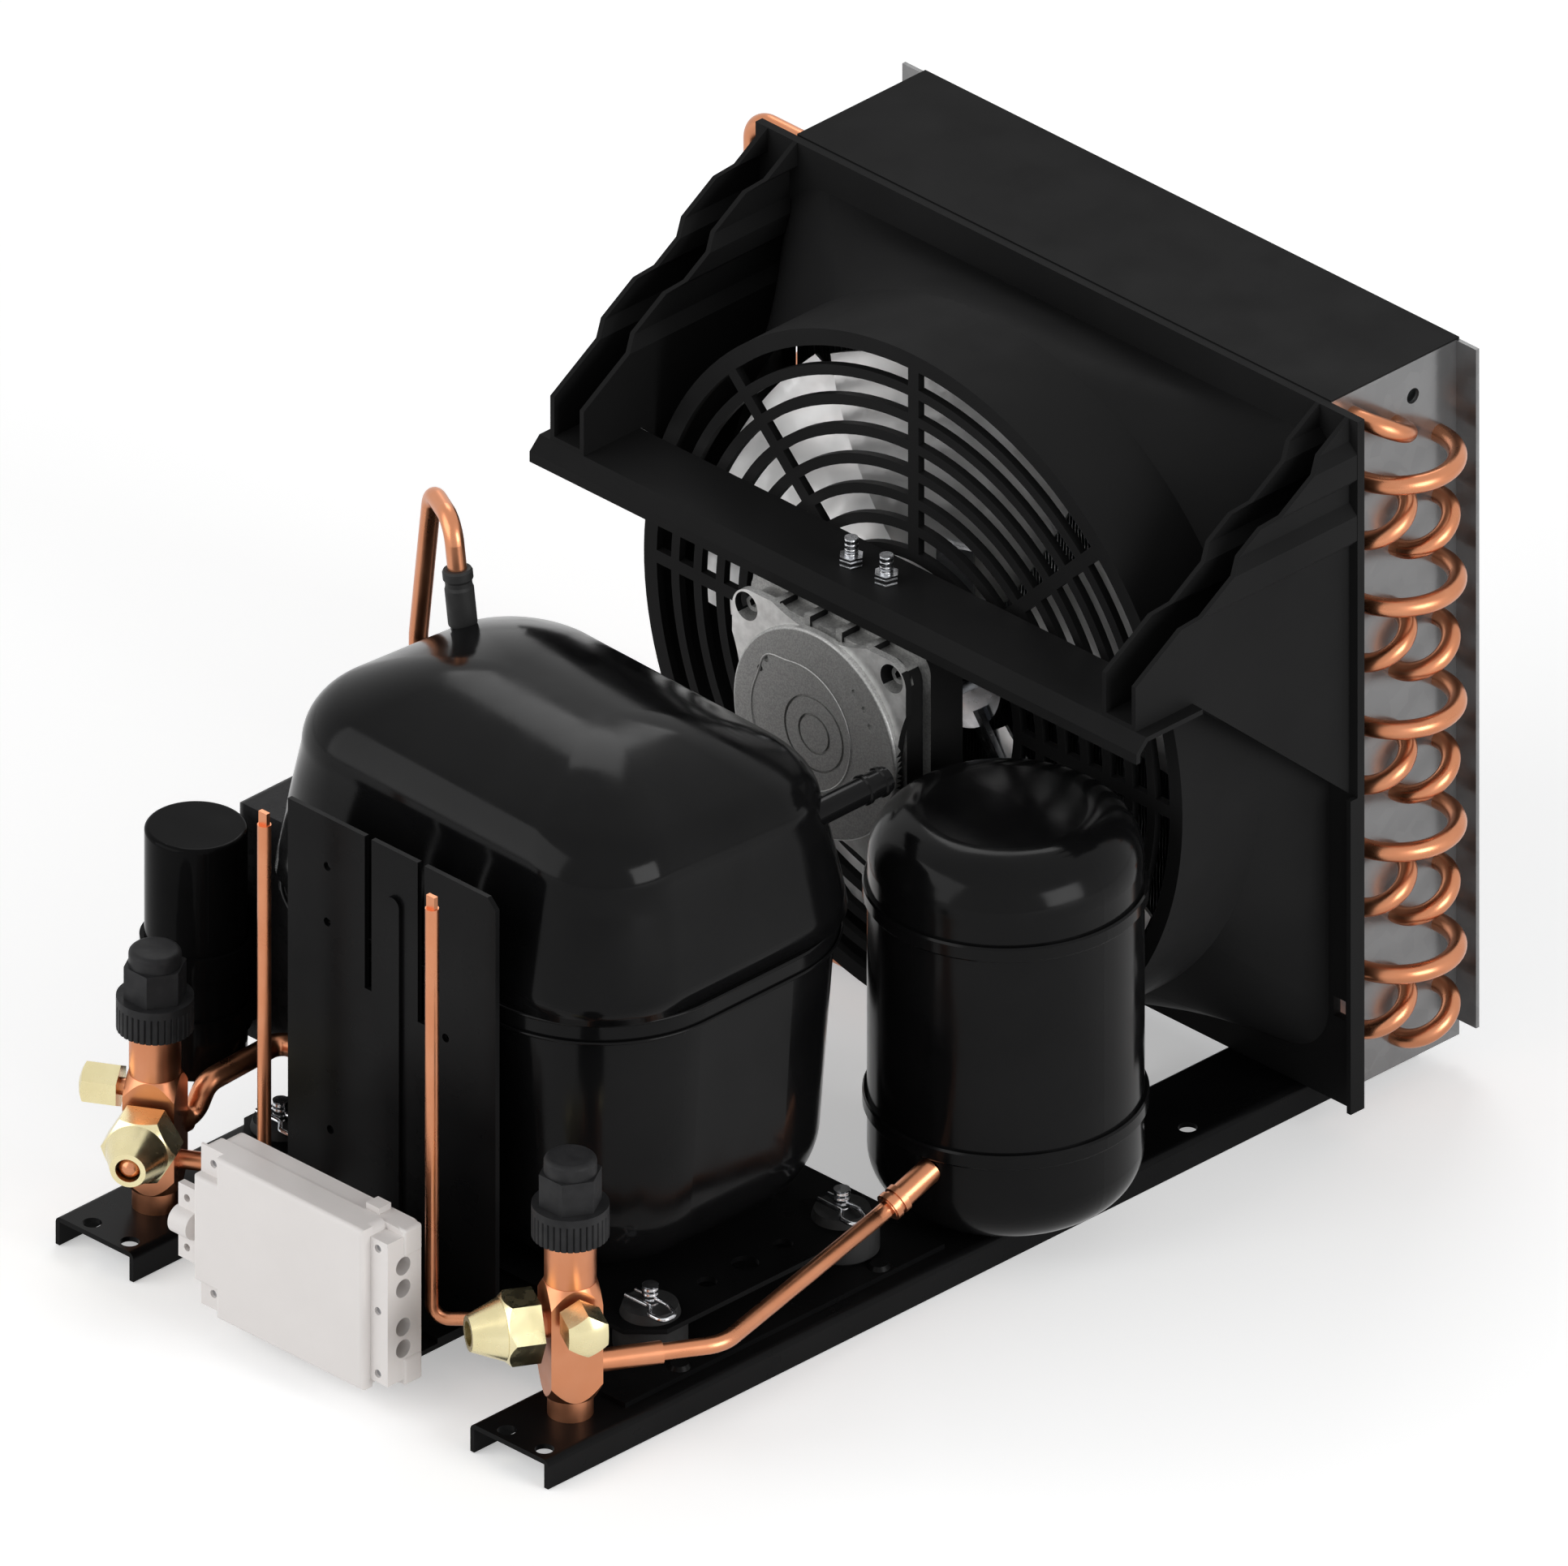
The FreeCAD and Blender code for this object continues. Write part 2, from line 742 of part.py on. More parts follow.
def box_inside(y0, y1):
    """Hollow that leaves a post round each screw of the left side."""
    post = box_notch + 1
    hollow = block(box_left + box_wall + 1, box_face_right - box_wall, y0, y1, box_bottom + box_wall + 1,
                   box_top - box_wall - 1)
    posts = []
    for z in (box_bottom, box_top - post):
        posts.append(block(box_left, box_left + post, y0 - 1, y1 + 1, z, z + post))
    return hollow.cut(posts)


def box_base():
    """Deep half of the box, with shoulders at the right side's ends and a catch on top."""
    body = box_corners(box_left + 1, box_right, box_split, box_back, box_bottom + 1, box_top - 1, 4.0)
    shoulders = []
    for z in (box_bottom + 1, box_top - box_shoulder - 4):
        shoulders.append(block(box_right - 7, box_right + 0.8, box_split, box_back, z, z + box_shoulder + 3))
    catch = block(box_face_right - 12, box_face_right - 5.5, 2.0, 8.0, box_top - 2, box_top + 1.5)
    body = fuse_all([body, catch] + [solid.makeFillet(1.2, solid.Edges) for solid in shoulders])
    return body.cut([box_inside(box_split - 1, box_back - box_wall)] + screw_holes() + entry_holes())


def box_cover():
    """Shallow half: a raised panel notched at its left corners, a screw flange and a cord ear."""
    step_y = box_front + box_step
    tray = box_corners(box_left + 0.6, box_face_right, step_y, box_split, box_bottom, box_top, 3.0)
    flange = block(box_face_right - 5, box_right, step_y, box_split, box_bottom + box_flange_inset,
                   box_top - box_flange_inset)
    panel = block(box_left, box_face_right, box_front, step_y + 1, box_bottom, box_top)
    notches = []
    for z in (box_bottom - 1, box_top - box_notch):
        notches.append(block(box_left - 1, box_left + box_notch, box_front - 1, step_y, z, z + box_notch + 1))
    panel = panel.cut(notches)
    front = [e for e in panel.Edges if abs(e.BoundBox.YMax - box_front) < 0.01]
    panel = panel.makeFillet(1.6, front)
    ear = block(box_left - ear_reach, box_left + 2, -5.0, -2.0, ear_low, ear_high)
    middle = (ear_low + ear_high) / 2
    saddle = rod(vec(box_left - ear_reach - 0.8, -4.2, middle), RIGHT, 5.5, 9.0)
    saddle = saddle.cut(block(-90, 0, -4.0, 20, 0, 90))
    cuts = screw_holes() + entry_holes()
    cuts.append(box_inside(box_front + box_wall, box_split + 1))
    for z in (middle - 10.1, middle + 10.1):
        cuts.append(rod(vec(box_left - ear_reach + 4.3, -9, z), BACK, 1.5, 9))
    return fuse_all([tray, flange, panel, ear, saddle]).cut(cuts)


def box_screws():
    solids = []
    for x, z in screw_points():
        solids.append(rod(vec(x, box_front + box_step + 1.2, z), BACK, screw_radius, 5.5))
    return group(solids)


# Service valves

def valve_vector(angle):
    turn = math.radians(angle)
    return vec(math.cos(turn), math.sin(turn), 0)


def port(x, heading, z, radius, reach):
    return rod(vec(x, valve_y, z), valve_vector(heading), radius, valve_block / 2 + reach)


def valve_body(x, block_heading, ports, sockets):
    """Square block with a round foot and neck; ports stick out and sockets take a tube."""
    base = vec(x, valve_y, rail_height)
    foot = rod(base, UP, valve_foot_radius, valve_block_bottom - rail_height + 1)
    half = valve_block / 2
    cube = block(-half, half, -half, half, valve_block_bottom, valve_block_top)
    cube.rotate(vec(0, 0, 0), UP, block_heading)
    cube.translate(vec(x, valve_y, 0))
    middle = vec(x, valve_y, valve_block_bottom)
    height = valve_block_top - valve_block_bottom
    crown = valve_block / math.sqrt(2)
    narrow = crown - 4.0
    rounded = turned([(0, 0), (narrow, 0), (crown, 7.0), (crown, height - 7.0), (narrow, height), (0, height)],
                     middle, UP)
    cube = cube.common(rounded)
    neck = rod(vec(x, valve_y, valve_block_top - 1), UP, valve_neck_radius, valve_neck_top - valve_block_top + 1)
    spindle_seat = rod(vec(x, valve_y, valve_neck_top), UP, valve_neck_radius - 2.4, 5)
    solids = [foot, cube, neck, spindle_seat]
    cuts = [rod(vec(x, valve_y, valve_block_top - 20), UP, stem_radius + running_gap, 60)]
    for heading, z, radius, reach in ports:
        solids.append(port(x, heading, z, radius, reach))
    for heading, z, radius, reach in sockets:
        solids.append(port(x, heading, z, radius + stub_wall, reach))
        mouth = vec(x, valve_y, z) + valve_vector(heading) * (half + min(0.0, reach - 6.0))
        cuts.append(rod(mouth, valve_vector(heading), radius + running_gap, reach + 20))
    return fuse_all(solids).cut(cuts)


def valve_stem(x):
    base = vec(x, valve_y, valve_block_top - 19.5)
    shaft = rod(base, UP, stem_radius, 36.0)
    square = block(x - 2.2, x + 2.2, valve_y - 2.2, valve_y + 2.2, valve_block_top + 16.5, valve_block_top + 21.5)
    return fuse_all([shaft, square])


def valve_cap(x):
    z = valve_neck_top + seat_gap
    skirt = rod(vec(x, valve_y, z), UP, cap_skirt_radius, cap_skirt_height)
    grooves = []
    for i in range(cap_groove_count):
        groove = prism([(cap_skirt_radius + 0.3, -0.7, z - 1), (cap_skirt_radius + 0.3, 0.7, z - 1),
                        (cap_skirt_radius - 0.6, 0, z - 1)], vec(0, 0, cap_skirt_height - 2))
        groove.rotate(vec(0, 0, 0), UP, 360.0 * i / cap_groove_count)
        groove.translate(vec(x, valve_y, 0))
        grooves.append(groove)
    shoulder = hexagon(vec(x, valve_y, z + cap_skirt_height), UP, cap_hex, cap_hex_height)
    crown = rod(vec(x, valve_y, z + cap_skirt_height), UP, cap_top_radius, cap_hex_height + cap_top_height)
    top_rim = [e for e in crown.Edges if abs(e.CenterOfMass.z - z - cap_skirt_height - cap_hex_height
                                             - cap_top_height) < 0.01 and e.Closed]
    crown = crown.makeFillet(2.0, top_rim)
    hollow = rod(vec(x, valve_y, z - 1), UP, valve_neck_radius - 2.4 + running_gap * 4, 9)
    inner = rod(vec(x, valve_y, z), UP, stem_radius + 1.5, 16)
    return fuse_all([skirt, shoulder, crown]).cut([hollow, inner] + grooves)


def flare_nut(x, z, heading):
    """Hexagon with a tapered nose, on the flare port."""
    along = valve_vector(heading)
    start = vec(x, valve_y, z) + along * (valve_block / 2 + nut_back)
    radius = nut_across / 2
    hexa = hexagon(start, along, nut_across, nut_length, 90)
    nose = Part.makeCone(radius - 0.4, radius - 5.4, nut_nose, start + along * nut_length, along)
    bevel = Part.makeCone(radius + 3.4, radius - 0.6, 4.0, start + along * (nut_length - 4), along)
    keep = rod(start, along, nut_across, nut_length - 4)
    hexa = hexa.common(keep.fuse(bevel))
    seat_reach = valve_port_reach - nut_back + seat_gap
    bore = rod(start - along, along, valve_port_radius + running_gap, seat_reach + 1)
    mouth = rod(start, along, nut_mouth_radius, nut_length + nut_nose + 2)
    return fuse_all([hexa, nose]).cut([bore, mouth])


def access_cap(x, z, heading):
    along = valve_vector(heading)
    start = vec(x, valve_y, z) + along * (valve_block / 2 + nut_back)
    hexa = hexagon(start, along, access_across, access_length, 30)
    dome = Part.makeSphere(access_length, start)
    bore = rod(start - along, along, access_port_radius + running_gap, access_port_reach - nut_back + seat_gap + 1)
    return hexa.common(dome).cut(bore)


def flare_plug():
    """Rounded plug in the suction flare's mouth, from its port out to the nut's nose."""
    along = valve_vector(suction_nut_heading)
    start = vec(-valve_x, valve_y, suction_nut_z) + along * (valve_block / 2 + valve_port_reach)
    radius = nut_mouth_radius - seat_gap
    length = nut_back + nut_length + nut_nose - valve_port_reach - radius
    shaft = rod(start, along, radius, length)
    ball = Part.makeSphere(radius, start + along * length)
    return fuse_all([shaft, ball])


def gauge_tube(x, low, valve_side):
    """Upright tube with a pinched end; low down it turns out and then into its valve's back."""
    heading = 90 + valve_side * 60
    reach = valve_block / 2 + gauge_seat - 6.0
    into = valve_vector(heading)
    end = vec(valve_side * valve_x, valve_y, low) + into * reach
    gap_x = (valve_side * valve_x - x) * valve_side
    share = (gap_x + gauge_y - valve_y) / (into.y - into.x * valve_side)
    turn = vec(valve_side * valve_x, valve_y, low) + into * share
    points = [(x, gauge_y, gauge_top), (x, gauge_y, low), (turn.x, turn.y, low), (end.x, end.y, low)]
    body = tube(points, 6.5, gauge_tube_radius)
    pinch = block(x - 2.0, x + 2.0, gauge_y - 0.9, gauge_y + 0.9, gauge_top - 1, gauge_top + 5.0)
    return fuse_all([body, pinch])


def elbow_ends():
    """Joint of the liquid line in front of the receiver, and where its elbow meets the shell."""
    joint = vec(receiver_x + 7.7, receiver_y - receiver_radius - 21.0, line_high)
    end = vec(receiver_x + 9.5, receiver_y - receiver_radius + 2.6, line_high + 10.0)
    return joint, end


def liquid_line():
    along = valve_vector(60)
    port_centre = vec(valve_x, valve_y, line_low)
    start = port_centre + along * (valve_block / 2 + 1)
    turn = port_centre + along * 56.0
    joint, end = elbow_ends()
    last = joint + (end - joint).normalize() * (elbow_start + elbow_depth)
    return tube([start, turn, joint, last], 16.0, line_radius)


def receiver_elbow():
    joint, end = elbow_ends()
    along = (end - joint).normalize()
    start = joint + along * elbow_start
    body = rod(start, along, elbow_radius, (end - start).Length)
    collars = [rod(start + along * place, along, elbow_radius + 0.8, 2.4) for place in (0.5, 4.5)]
    bore = rod(start - along, along, line_radius + running_gap, elbow_depth + seat_gap + 1)
    return fuse_all([body] + collars).cut(bore)


def discharge_line():
    """From the dome's stub, down the shell's left side, low along the rail and up to the coil's inlet."""
    foot, lean = dome_port()
    start = foot + lean * (stub_reach + 0.3)
    top = foot + lean * (stub_reach + sleeve_length + 18.0)
    x = -coil_half - inlet_reach
    low = 32.0
    points = [(start.x, start.y, start.z), (top.x, top.y, top.z), (top.x - 22.0, top.y + 12.0, top.z - 1.0),
              (-113.0, 171.5, 184.0), (-121.0, 178.0, low), (x, 290.0, low), (x, row_y(1), low),
              (x, row_y(1), socket_top - socket_stop - seat_gap)]
    return tube(points, 9.0, tube_radius)


def condensate_line():
    """From the coil's lowest tube, round the flange, under the fan ring and into the receiver."""
    z = middle_level(level_count - 1)
    radius = tube_radius - 0.5
    low = rail_height + seat_gap + radius
    points = [(-coil_half, row_y(2), z), (-coil_half - 22.0, row_y(2), z), (-coil_half - 22.0, 358.0, low),
              (-124.0, 322.0, low), (0.0, 322.0, low), (22.0, 298.0, low + 1.0),
              (receiver_x - 52.0, 273.0, condensate_z), (receiver_x - 42.5, 268.0, condensate_z)]
    return tube(points, 4.5, radius)


def receiver_ports():
    """Holes in the receiver where the two lines end."""
    joint, end = elbow_ends()
    along = (end - joint).normalize()
    foot = vec(receiver_x - 52.0, 273.0, condensate_z)
    inward = vec(9.5, -5.0, 0).normalize()
    return [rod(end - along * 10, along, elbow_radius + running_gap, 30),
            rod(foot, inward, tube_radius - 0.5 + running_gap, 30)]


# Receiver

def receiver_inside():
    """Inside of the receiver, its ends in flats that follow the dishes."""
    curve = receiver_dish - receiver_wall
    height = receiver_top - receiver_bottom
    low = []
    for degrees in (90, 60, 30, 0):
        turn = math.radians(degrees)
        low.append((receiver_radius - receiver_dish + curve * math.cos(turn), receiver_dish - curve * math.sin(turn)))
    high = [(radius, height - level) for radius, level in reversed(low)]
    profile = [(0, receiver_wall)] + low + high + [(0, height - receiver_wall)]
    return turned(profile, vec(receiver_x, receiver_y, receiver_bottom), UP)


def receiver_shell():
    body = rod(vec(receiver_x, receiver_y, receiver_bottom), UP, receiver_radius, receiver_top - receiver_bottom)
    rims = [e for e in body.Edges if e.Closed]
    body = body.makeFillet(receiver_dish, rims)
    inner = receiver_inside()
    stand = ring(vec(receiver_x, receiver_y, rail_height), UP, 24.0, 20.0, receiver_bottom - rail_height + 0.4)
    plate = block(receiver_x - 19.0, receiver_x + 19.0, receiver_y - 19.0, receiver_y + 19.0,
                  rail_height, rail_height + sheet)
    hoops = []
    for z in (lower_band_z, upper_band_z):
        profile = [(receiver_radius - 1, 0), (receiver_radius + band_proud - 0.6, 0),
                   (receiver_radius + band_proud, 0.8), (receiver_radius + band_proud, band_height - 0.8),
                   (receiver_radius + band_proud - 0.6, band_height), (receiver_radius - 1, band_height)]
        hoops.append(turned(profile, vec(receiver_x, receiver_y, z), UP))
    return fuse_all([body.cut(inner), stand, plate] + hoops).cut(receiver_ports())


# Shroud, wings, bar

def split_circle(radius, y):
    """Circle of eight arcs, matched to the frame's four sides and four corners."""
    edges = []
    marks = [-35, 35, 55, 125, 145, 215, 235, 305, 325]
    for i in range(8):
        angles = [math.radians(marks[i] + (marks[i + 1] - marks[i]) * share) for share in (0, 0.5, 1)]
        points = [vec(radius * math.cos(a), y, fan_z + radius * math.sin(a)) for a in angles]
        edges.append(Part.Arc(*points).toShape())
    return Part.Wire(edges)


def frame_wire(inset, corner, y):
    """Rounded frame opening, from the right side round to the right side again."""
    right = shroud_half - inset
    top = shroud_top - inset
    bottom = shroud_bottom + inset
    edges = []
    corners = [(right - corner, top - corner, 0), (-right + corner, top - corner, 90),
               (-right + corner, bottom + corner, 180), (right - corner, bottom + corner, 270)]
    arcs = []
    for x, z, start in corners:
        angles = [math.radians(start + share) for share in (0, 45, 90)]
        points = [vec(x + corner * math.cos(a), y, z + corner * math.sin(a)) for a in angles]
        arcs.append(Part.Arc(*points).toShape())
    for i in range(4):
        before = arcs[i - 1].Vertexes[-1].Point
        edges.append(Part.makeLine(before, arcs[i].Vertexes[0].Point))
        edges.append(arcs[i])
    return Part.Wire(edges)


def shroud():
    """Square-to-round duct with its flange against the coil."""
    throat = [split_circle(guard_radius + ring_wall, cone_front), split_circle(guard_radius, cone_front)]
    frames = [frame_wire(14.5, 22.0, flange_front), frame_wire(16.9, 20.0, flange_front)]
    outer = Part.makeLoft([throat[0], frames[0]], True, True)
    inner = Part.makeLoft([throat[1], frames[1]], True, True)
    flange = block(-shroud_half, shroud_half, flange_front, flange_back, shroud_bottom, shroud_top)
    opening = Part.Face(frames[1]).extrude(vec(0, flange_back - flange_front, 0))
    window = block(shroud_half - 12, shroud_half - 6, flange_front - 1, flange_back + 1, 46.0, 54.0)
    duct = outer.fuse(flange).cut([inner.fuse(opening), window])
    lips = []
    for side in (-1, 1):
        edge = side * (shroud_half - sheet)
        lips.append(block(min(edge, side * shroud_half), max(edge, side * shroud_half), flange_front - flange_lip,
                          flange_front, shroud_bottom, flange_lip_top - seat_gap))
    return duct.fuse(lips)


def fan_ring():
    """Guard cylinder that carries the guard and meets the cone."""
    start = vec(0, guard_y + guard_depth / 2, fan_z)
    length = cone_front - guard_y - guard_depth / 2
    return ring(start, BACK, guard_radius + ring_wall, guard_radius, length)


def wing(side):
    """Double-walled cheek that joins the bar to the shroud's flange."""
    outline = [(wing_front, wing_foot), (wing_front, wing_foot + 18.0), (flange_front, shroud_top),
               (flange_front, 140.0), (bar_back + seat_gap, wing_foot)]
    full = prism([(0, y, z) for y, z in outline], vec(side * shroud_half, 0, 0))

    def wall(x):
        low = 136.0
        steps = [(0, low), (0, 241.0), (4, 245.0), (4, 255.0), (0, 259.0), (0, 266.0), (4, 270.0), (4, 280.0),
                 (0, 284.0), (0, shroud_top)]
        near = [(side * (x + s), wing_front - 1, z) for s, z in steps]
        far = [(side * (x + s - wing_wall), wing_front - 1, z) for s, z in reversed(steps)]
        return prism(near + far, vec(0, flange_front - wing_front + 2, 0))

    outer = wall(shroud_half - 4.2)
    inner = wall(wing_inner + wing_wall - 4.2)
    floor_web = block(min(side * (wing_inner - 4), side * (shroud_half - 4.2)),
                      max(side * (wing_inner - 4), side * (shroud_half - 4.2)),
                      wing_front, bar_back, wing_foot, wing_foot + sheet)
    walls = outer.fuse([inner]).common(full)
    clear = guard_radius + ring_wall + seat_gap
    duct = Part.makeLoft([split_circle(clear, cone_front), frame_wire(14.5 - seat_gap, 22.0, flange_front)], True, True)
    tunnel = rod(vec(0, guard_y - guard_depth, fan_z), BACK, clear, cone_front - guard_y + guard_depth)
    return fuse_all([walls, floor_web]).cut([duct, tunnel])


def motor_bar():
    """Flat bar with its front lip folded down and forward."""
    top = bar_top
    low = bar_top - sheet
    front = wing_front
    profile = [(front, top), (front - lip_drop, top - lip_drop), (front - lip_drop, top - lip_drop - lip_height),
               (front - lip_drop + sheet, top - lip_drop - lip_height), (front - lip_drop + sheet, top - lip_drop - 0.8),
               (front + 0.8, low), (bar_back, low), (bar_back, top)]
    bar = prism([(-bar_half, y, z) for y, z in profile], vec(2 * bar_half, 0, 0))
    holes = []
    for side in (-1, 1):
        holes.append(rod(vec(side * motor_stud_x, motor_stud_y, low - 1), UP, 2.6, sheet + 2))
    return bar.cut(holes)


# Fan

def fan_guard():
    """Concentric bars, eight spokes and a middle disc."""
    base = guard_y - guard_depth / 2
    solids = [ring(vec(0, base, fan_z), BACK, guard_radius + ring_wall, guard_radius - guard_bar, guard_depth)]
    radius = guard_radius - guard_pitch
    while radius > motor_half:
        solids.append(ring(vec(0, base, fan_z), BACK, radius, radius - guard_bar, guard_depth))
        radius -= guard_pitch
    middle = radius + guard_pitch - guard_bar
    for i in range(8):
        spoke = block(-2.6, 2.6, base, base + guard_depth, fan_z + middle, fan_z + guard_radius - 1)
        spoke.rotate(vec(0, base, fan_z), BACK, 45.0 * i)
        solids.append(spoke)
    return fuse_all(solids)


def motor_outline(half, y, depth):
    return Part.Face(rounded_square(half, motor_corner, y)).extrude(vec(0, depth, 0))


def rounded_square(half, corner, y):
    """Upright rounded square round the motor's axis."""
    wire = rounded_wire(half, half, corner, 0, 0, 0)
    wire.rotate(vec(0, 0, 0), RIGHT, 90)
    wire.translate(vec(0, y, motor_z))
    return wire


def star_plate(y, depth):
    """Plate that reaches into the four corners, with hollowed sides."""
    plate = motor_outline(motor_front_half, y, depth)
    hollow = 60.0
    place = hollow + motor_disc_radius - 2.0
    cuts = []
    for i in range(4):
        turn = math.radians(90 * i)
        cuts.append(rod(vec(place * math.cos(turn), y - 1, motor_z + place * math.sin(turn)), BACK, hollow, depth + 2))
    return plate.cut(cuts)


def motor_scoops(y):
    """Recess in each corner with the head of a socket screw left standing in it."""
    cuts = []
    for sx in (-1, 1):
        for sz in (-1, 1):
            x = sx * motor_scoop_place
            z = motor_z + sz * motor_scoop_place
            scoop = rod(vec(x, y, z), BACK, motor_scoop_radius, 6.5)
            head = rod(vec(x, y + 3.5, z), BACK, 3.4, 4).cut(hexagon(vec(x, y + 3, z), BACK, 3.2, 2.5))
            cuts.append(scoop.cut(head))
    return cuts


def motor_housing():
    """Cast cap: disc with two raised rings on a star plate, ribbed top, rounded square body behind."""
    star_y = motor_front + motor_disc
    body_y = star_y + motor_star
    axis = vec(0, motor_front, motor_z)
    disc = rod(axis, BACK, motor_disc_radius, motor_disc + 1)
    disc = disc.makeFillet(1.0, [e for e in disc.Edges if e.Closed and abs(e.CenterOfMass.y - motor_front) < 0.01])
    solids = [disc, star_plate(star_y, motor_star), motor_outline(motor_front_half - 2.5, body_y, motor_rim_y - body_y),
              motor_outline(motor_half, motor_rim_y, motor_back - motor_rim_y)]
    top = motor_z + motor_front_half
    for x in (-23.0, -8.0, 8.0, 23.0):
        solids.append(block(x - 1.5, x + 1.5, body_y - 1, motor_rim_y + 1, top - 6, top))
    cuts = motor_scoops(star_y)
    for radius in (15.0, 8.0):
        cuts.append(ring(axis - BACK, BACK, radius, radius - 1.0, 1.8))
    cuts.append(rod(axis + BACK * 6.0, BACK, fan_shaft_radius + running_gap, motor_back - motor_front))
    for x, z in [(-24.0, 21.0), (-27.0, 16.0), (20.0, 25.0), (25.0, 20.0), (28.0, 14.0)]:
        cuts.append(rod(axis + vec(x, -1, z), BACK, 1.3, 1.9))
    return fuse_all(solids).cut(cuts)


def motor_bracket():
    """Steel plate between the motor's top and the bar, with two studs."""
    low = motor_z + motor_half
    high = bar_top - sheet
    return block(-18.0, 18.0, motor_front + 16.0, motor_back, low, high)


def motor_studs_and_nuts():
    solids = []
    for side in (-1, 1):
        foot = vec(side * motor_stud_x, motor_stud_y, bar_top - sheet)
        solids.append(rod(foot, UP, 2.5, sheet + 11.0))
        centre = vec(side * motor_stud_x, motor_stud_y, bar_top)
        nut = hexagon(centre, UP, 8.0, 4.0, 12)
        solids.append(nut.cut(rod(centre, UP, 2.5 + running_gap, 5)))
    return group(solids)


def fan_shaft():
    start = vec(0, motor_front + 6.3, motor_z)
    return rod(start, BACK, fan_shaft_radius, blade_y + 10.0 - start.y)


def blade_section(height, chord, pitch):
    """Thin cambered section at one height above the hub's middle."""
    lean = math.tan(math.radians(pitch))
    near = []
    for share in (-1.0, -0.5, 0.0, 0.5, 1.0):
        x = chord / 2 * share
        near.append(vec(x, blade_y + lean * x + blade_camber * share * share, fan_z + height))
    far = [point + vec(0, blade_wall, 0) for point in near]
    front = Part.BSplineCurve()
    front.interpolate(near)
    rear = Part.BSplineCurve()
    rear.interpolate(far)
    return Part.Wire([front.toShape(), Part.makeLine(near[-1], far[-1]), rear.toShape(),
                      Part.makeLine(far[0], near[0])])


def fan_blades():
    """Pitched, cambered blades, trimmed to the tip circle."""
    blade = Part.makeLoft([blade_section(*section) for section in blade_sections], True, False)
    blade = blade.common(rod(vec(0, blade_y - 60, fan_z), BACK, blade_tip, 120)).Solids[0]
    solids = []
    for i in range(blade_count):
        copy = blade.copy()
        copy.rotate(vec(0, 0, fan_z), BACK, 360.0 / blade_count * i)
        solids.append(copy)
    return group(solids)


def fan_hub():
    """Pressed hub: a sleeve on the shaft, a flat spider and a pitched arm under each blade."""
    start = vec(0, blade_y - hub_length / 2 - 2.0, fan_z)
    middle = blade_y - arm_wall - start.y
    profile = [(fan_shaft_radius, 0), (hub_sleeve_radius, 0), (hub_sleeve_radius, middle), (hub_radius, middle),
               (hub_radius, middle + arm_wall), (hub_sleeve_radius, middle + arm_wall),
               (hub_sleeve_radius, hub_length), (fan_shaft_radius, hub_length)]
    solids = [turned(profile, start, BACK)]
    pitch = blade_sections[0][2]
    for i in range(blade_count):
        arm = block(-arm_half, arm_half, blade_y - arm_wall - 0.1, blade_y - 0.1, fan_z + hub_radius - 6,
                    fan_z + arm_reach)
        arm.rotate(vec(0, blade_y, fan_z), UP, pitch)
        arm.rotate(vec(0, 0, fan_z), BACK, 360.0 / blade_count * i)
        solids.append(arm)
    return fuse_all(solids)


# Coil

def coil_fins():
    """Fin block, its front and back cut into upright fins."""
    half = coil_half - 2.5
    front = coil_front + 1
    back = coil_front + coil_depth - 1
    near = []
    far = []
    count = int(2 * half / fin_pitch)
    first = -(count * fin_pitch - (fin_pitch - fin_wall)) / 2
    for i in range(count):
        x = first + i * fin_pitch
        near += [(x, front + fin_groove), (x, front), (x + fin_wall, front), (x + fin_wall, front + fin_groove)]
        far += [(x, back - fin_groove), (x, back), (x + fin_wall, back), (x + fin_wall, back - fin_groove)]
    outline = near[1:-1] + list(reversed(far[1:-1]))
    low = rail_height + seat_gap
    return prism([(x, y, low) for x, y in outline], vec(0, 0, coil_top - 4.0 - low))


def end_plate(side):
    inner = coil_half - 1.6
    x0 = min(side * inner, side * coil_half)
    x1 = max(side * inner, side * coil_half)
    web = block(x0, x1, coil_front, coil_front + coil_depth, coil_bottom, coil_top)
    reach = coil_half + end_flange
    flange = block(min(side * coil_half, side * reach), max(side * coil_half, side * reach),
                   coil_front + coil_depth - 1.6, coil_front + coil_depth, coil_bottom + 7.0, coil_top)
    hole = rod(vec(side * (inner - 1), coil_front + 41.0, coil_top - 14.0), vec(side, 0, 0), 3.0, 6)
    return fuse_all([web, flange]).cut(hole)


def half_bend(start, end, side):
    """One return bend: two short legs and a half turn between two tube ends."""
    a = vec(*start)
    b = vec(*end)
    out = vec(side, 0, 0)
    radius = (b - a).Length / 2
    leg = out * bend_leg
    centre = (a + b) * 0.5 + leg
    turn = bend_solid(a + leg, centre + out * radius, b + leg, centre, tube_radius)
    return fuse_all([rod(a, out, tube_radius, leg.Length), turn, rod(b, out, tube_radius, leg.Length)])


def row_y(row):
    return coil_front + coil_depth / 2 + (row - 2) * row_pitch


def outer_level(step):
    """Height of the tubes of the front and rear rows, counted down from the top."""
    return first_tube_z - step * tube_pitch


def middle_level(step):
    return outer_level(step) - tube_pitch / 2


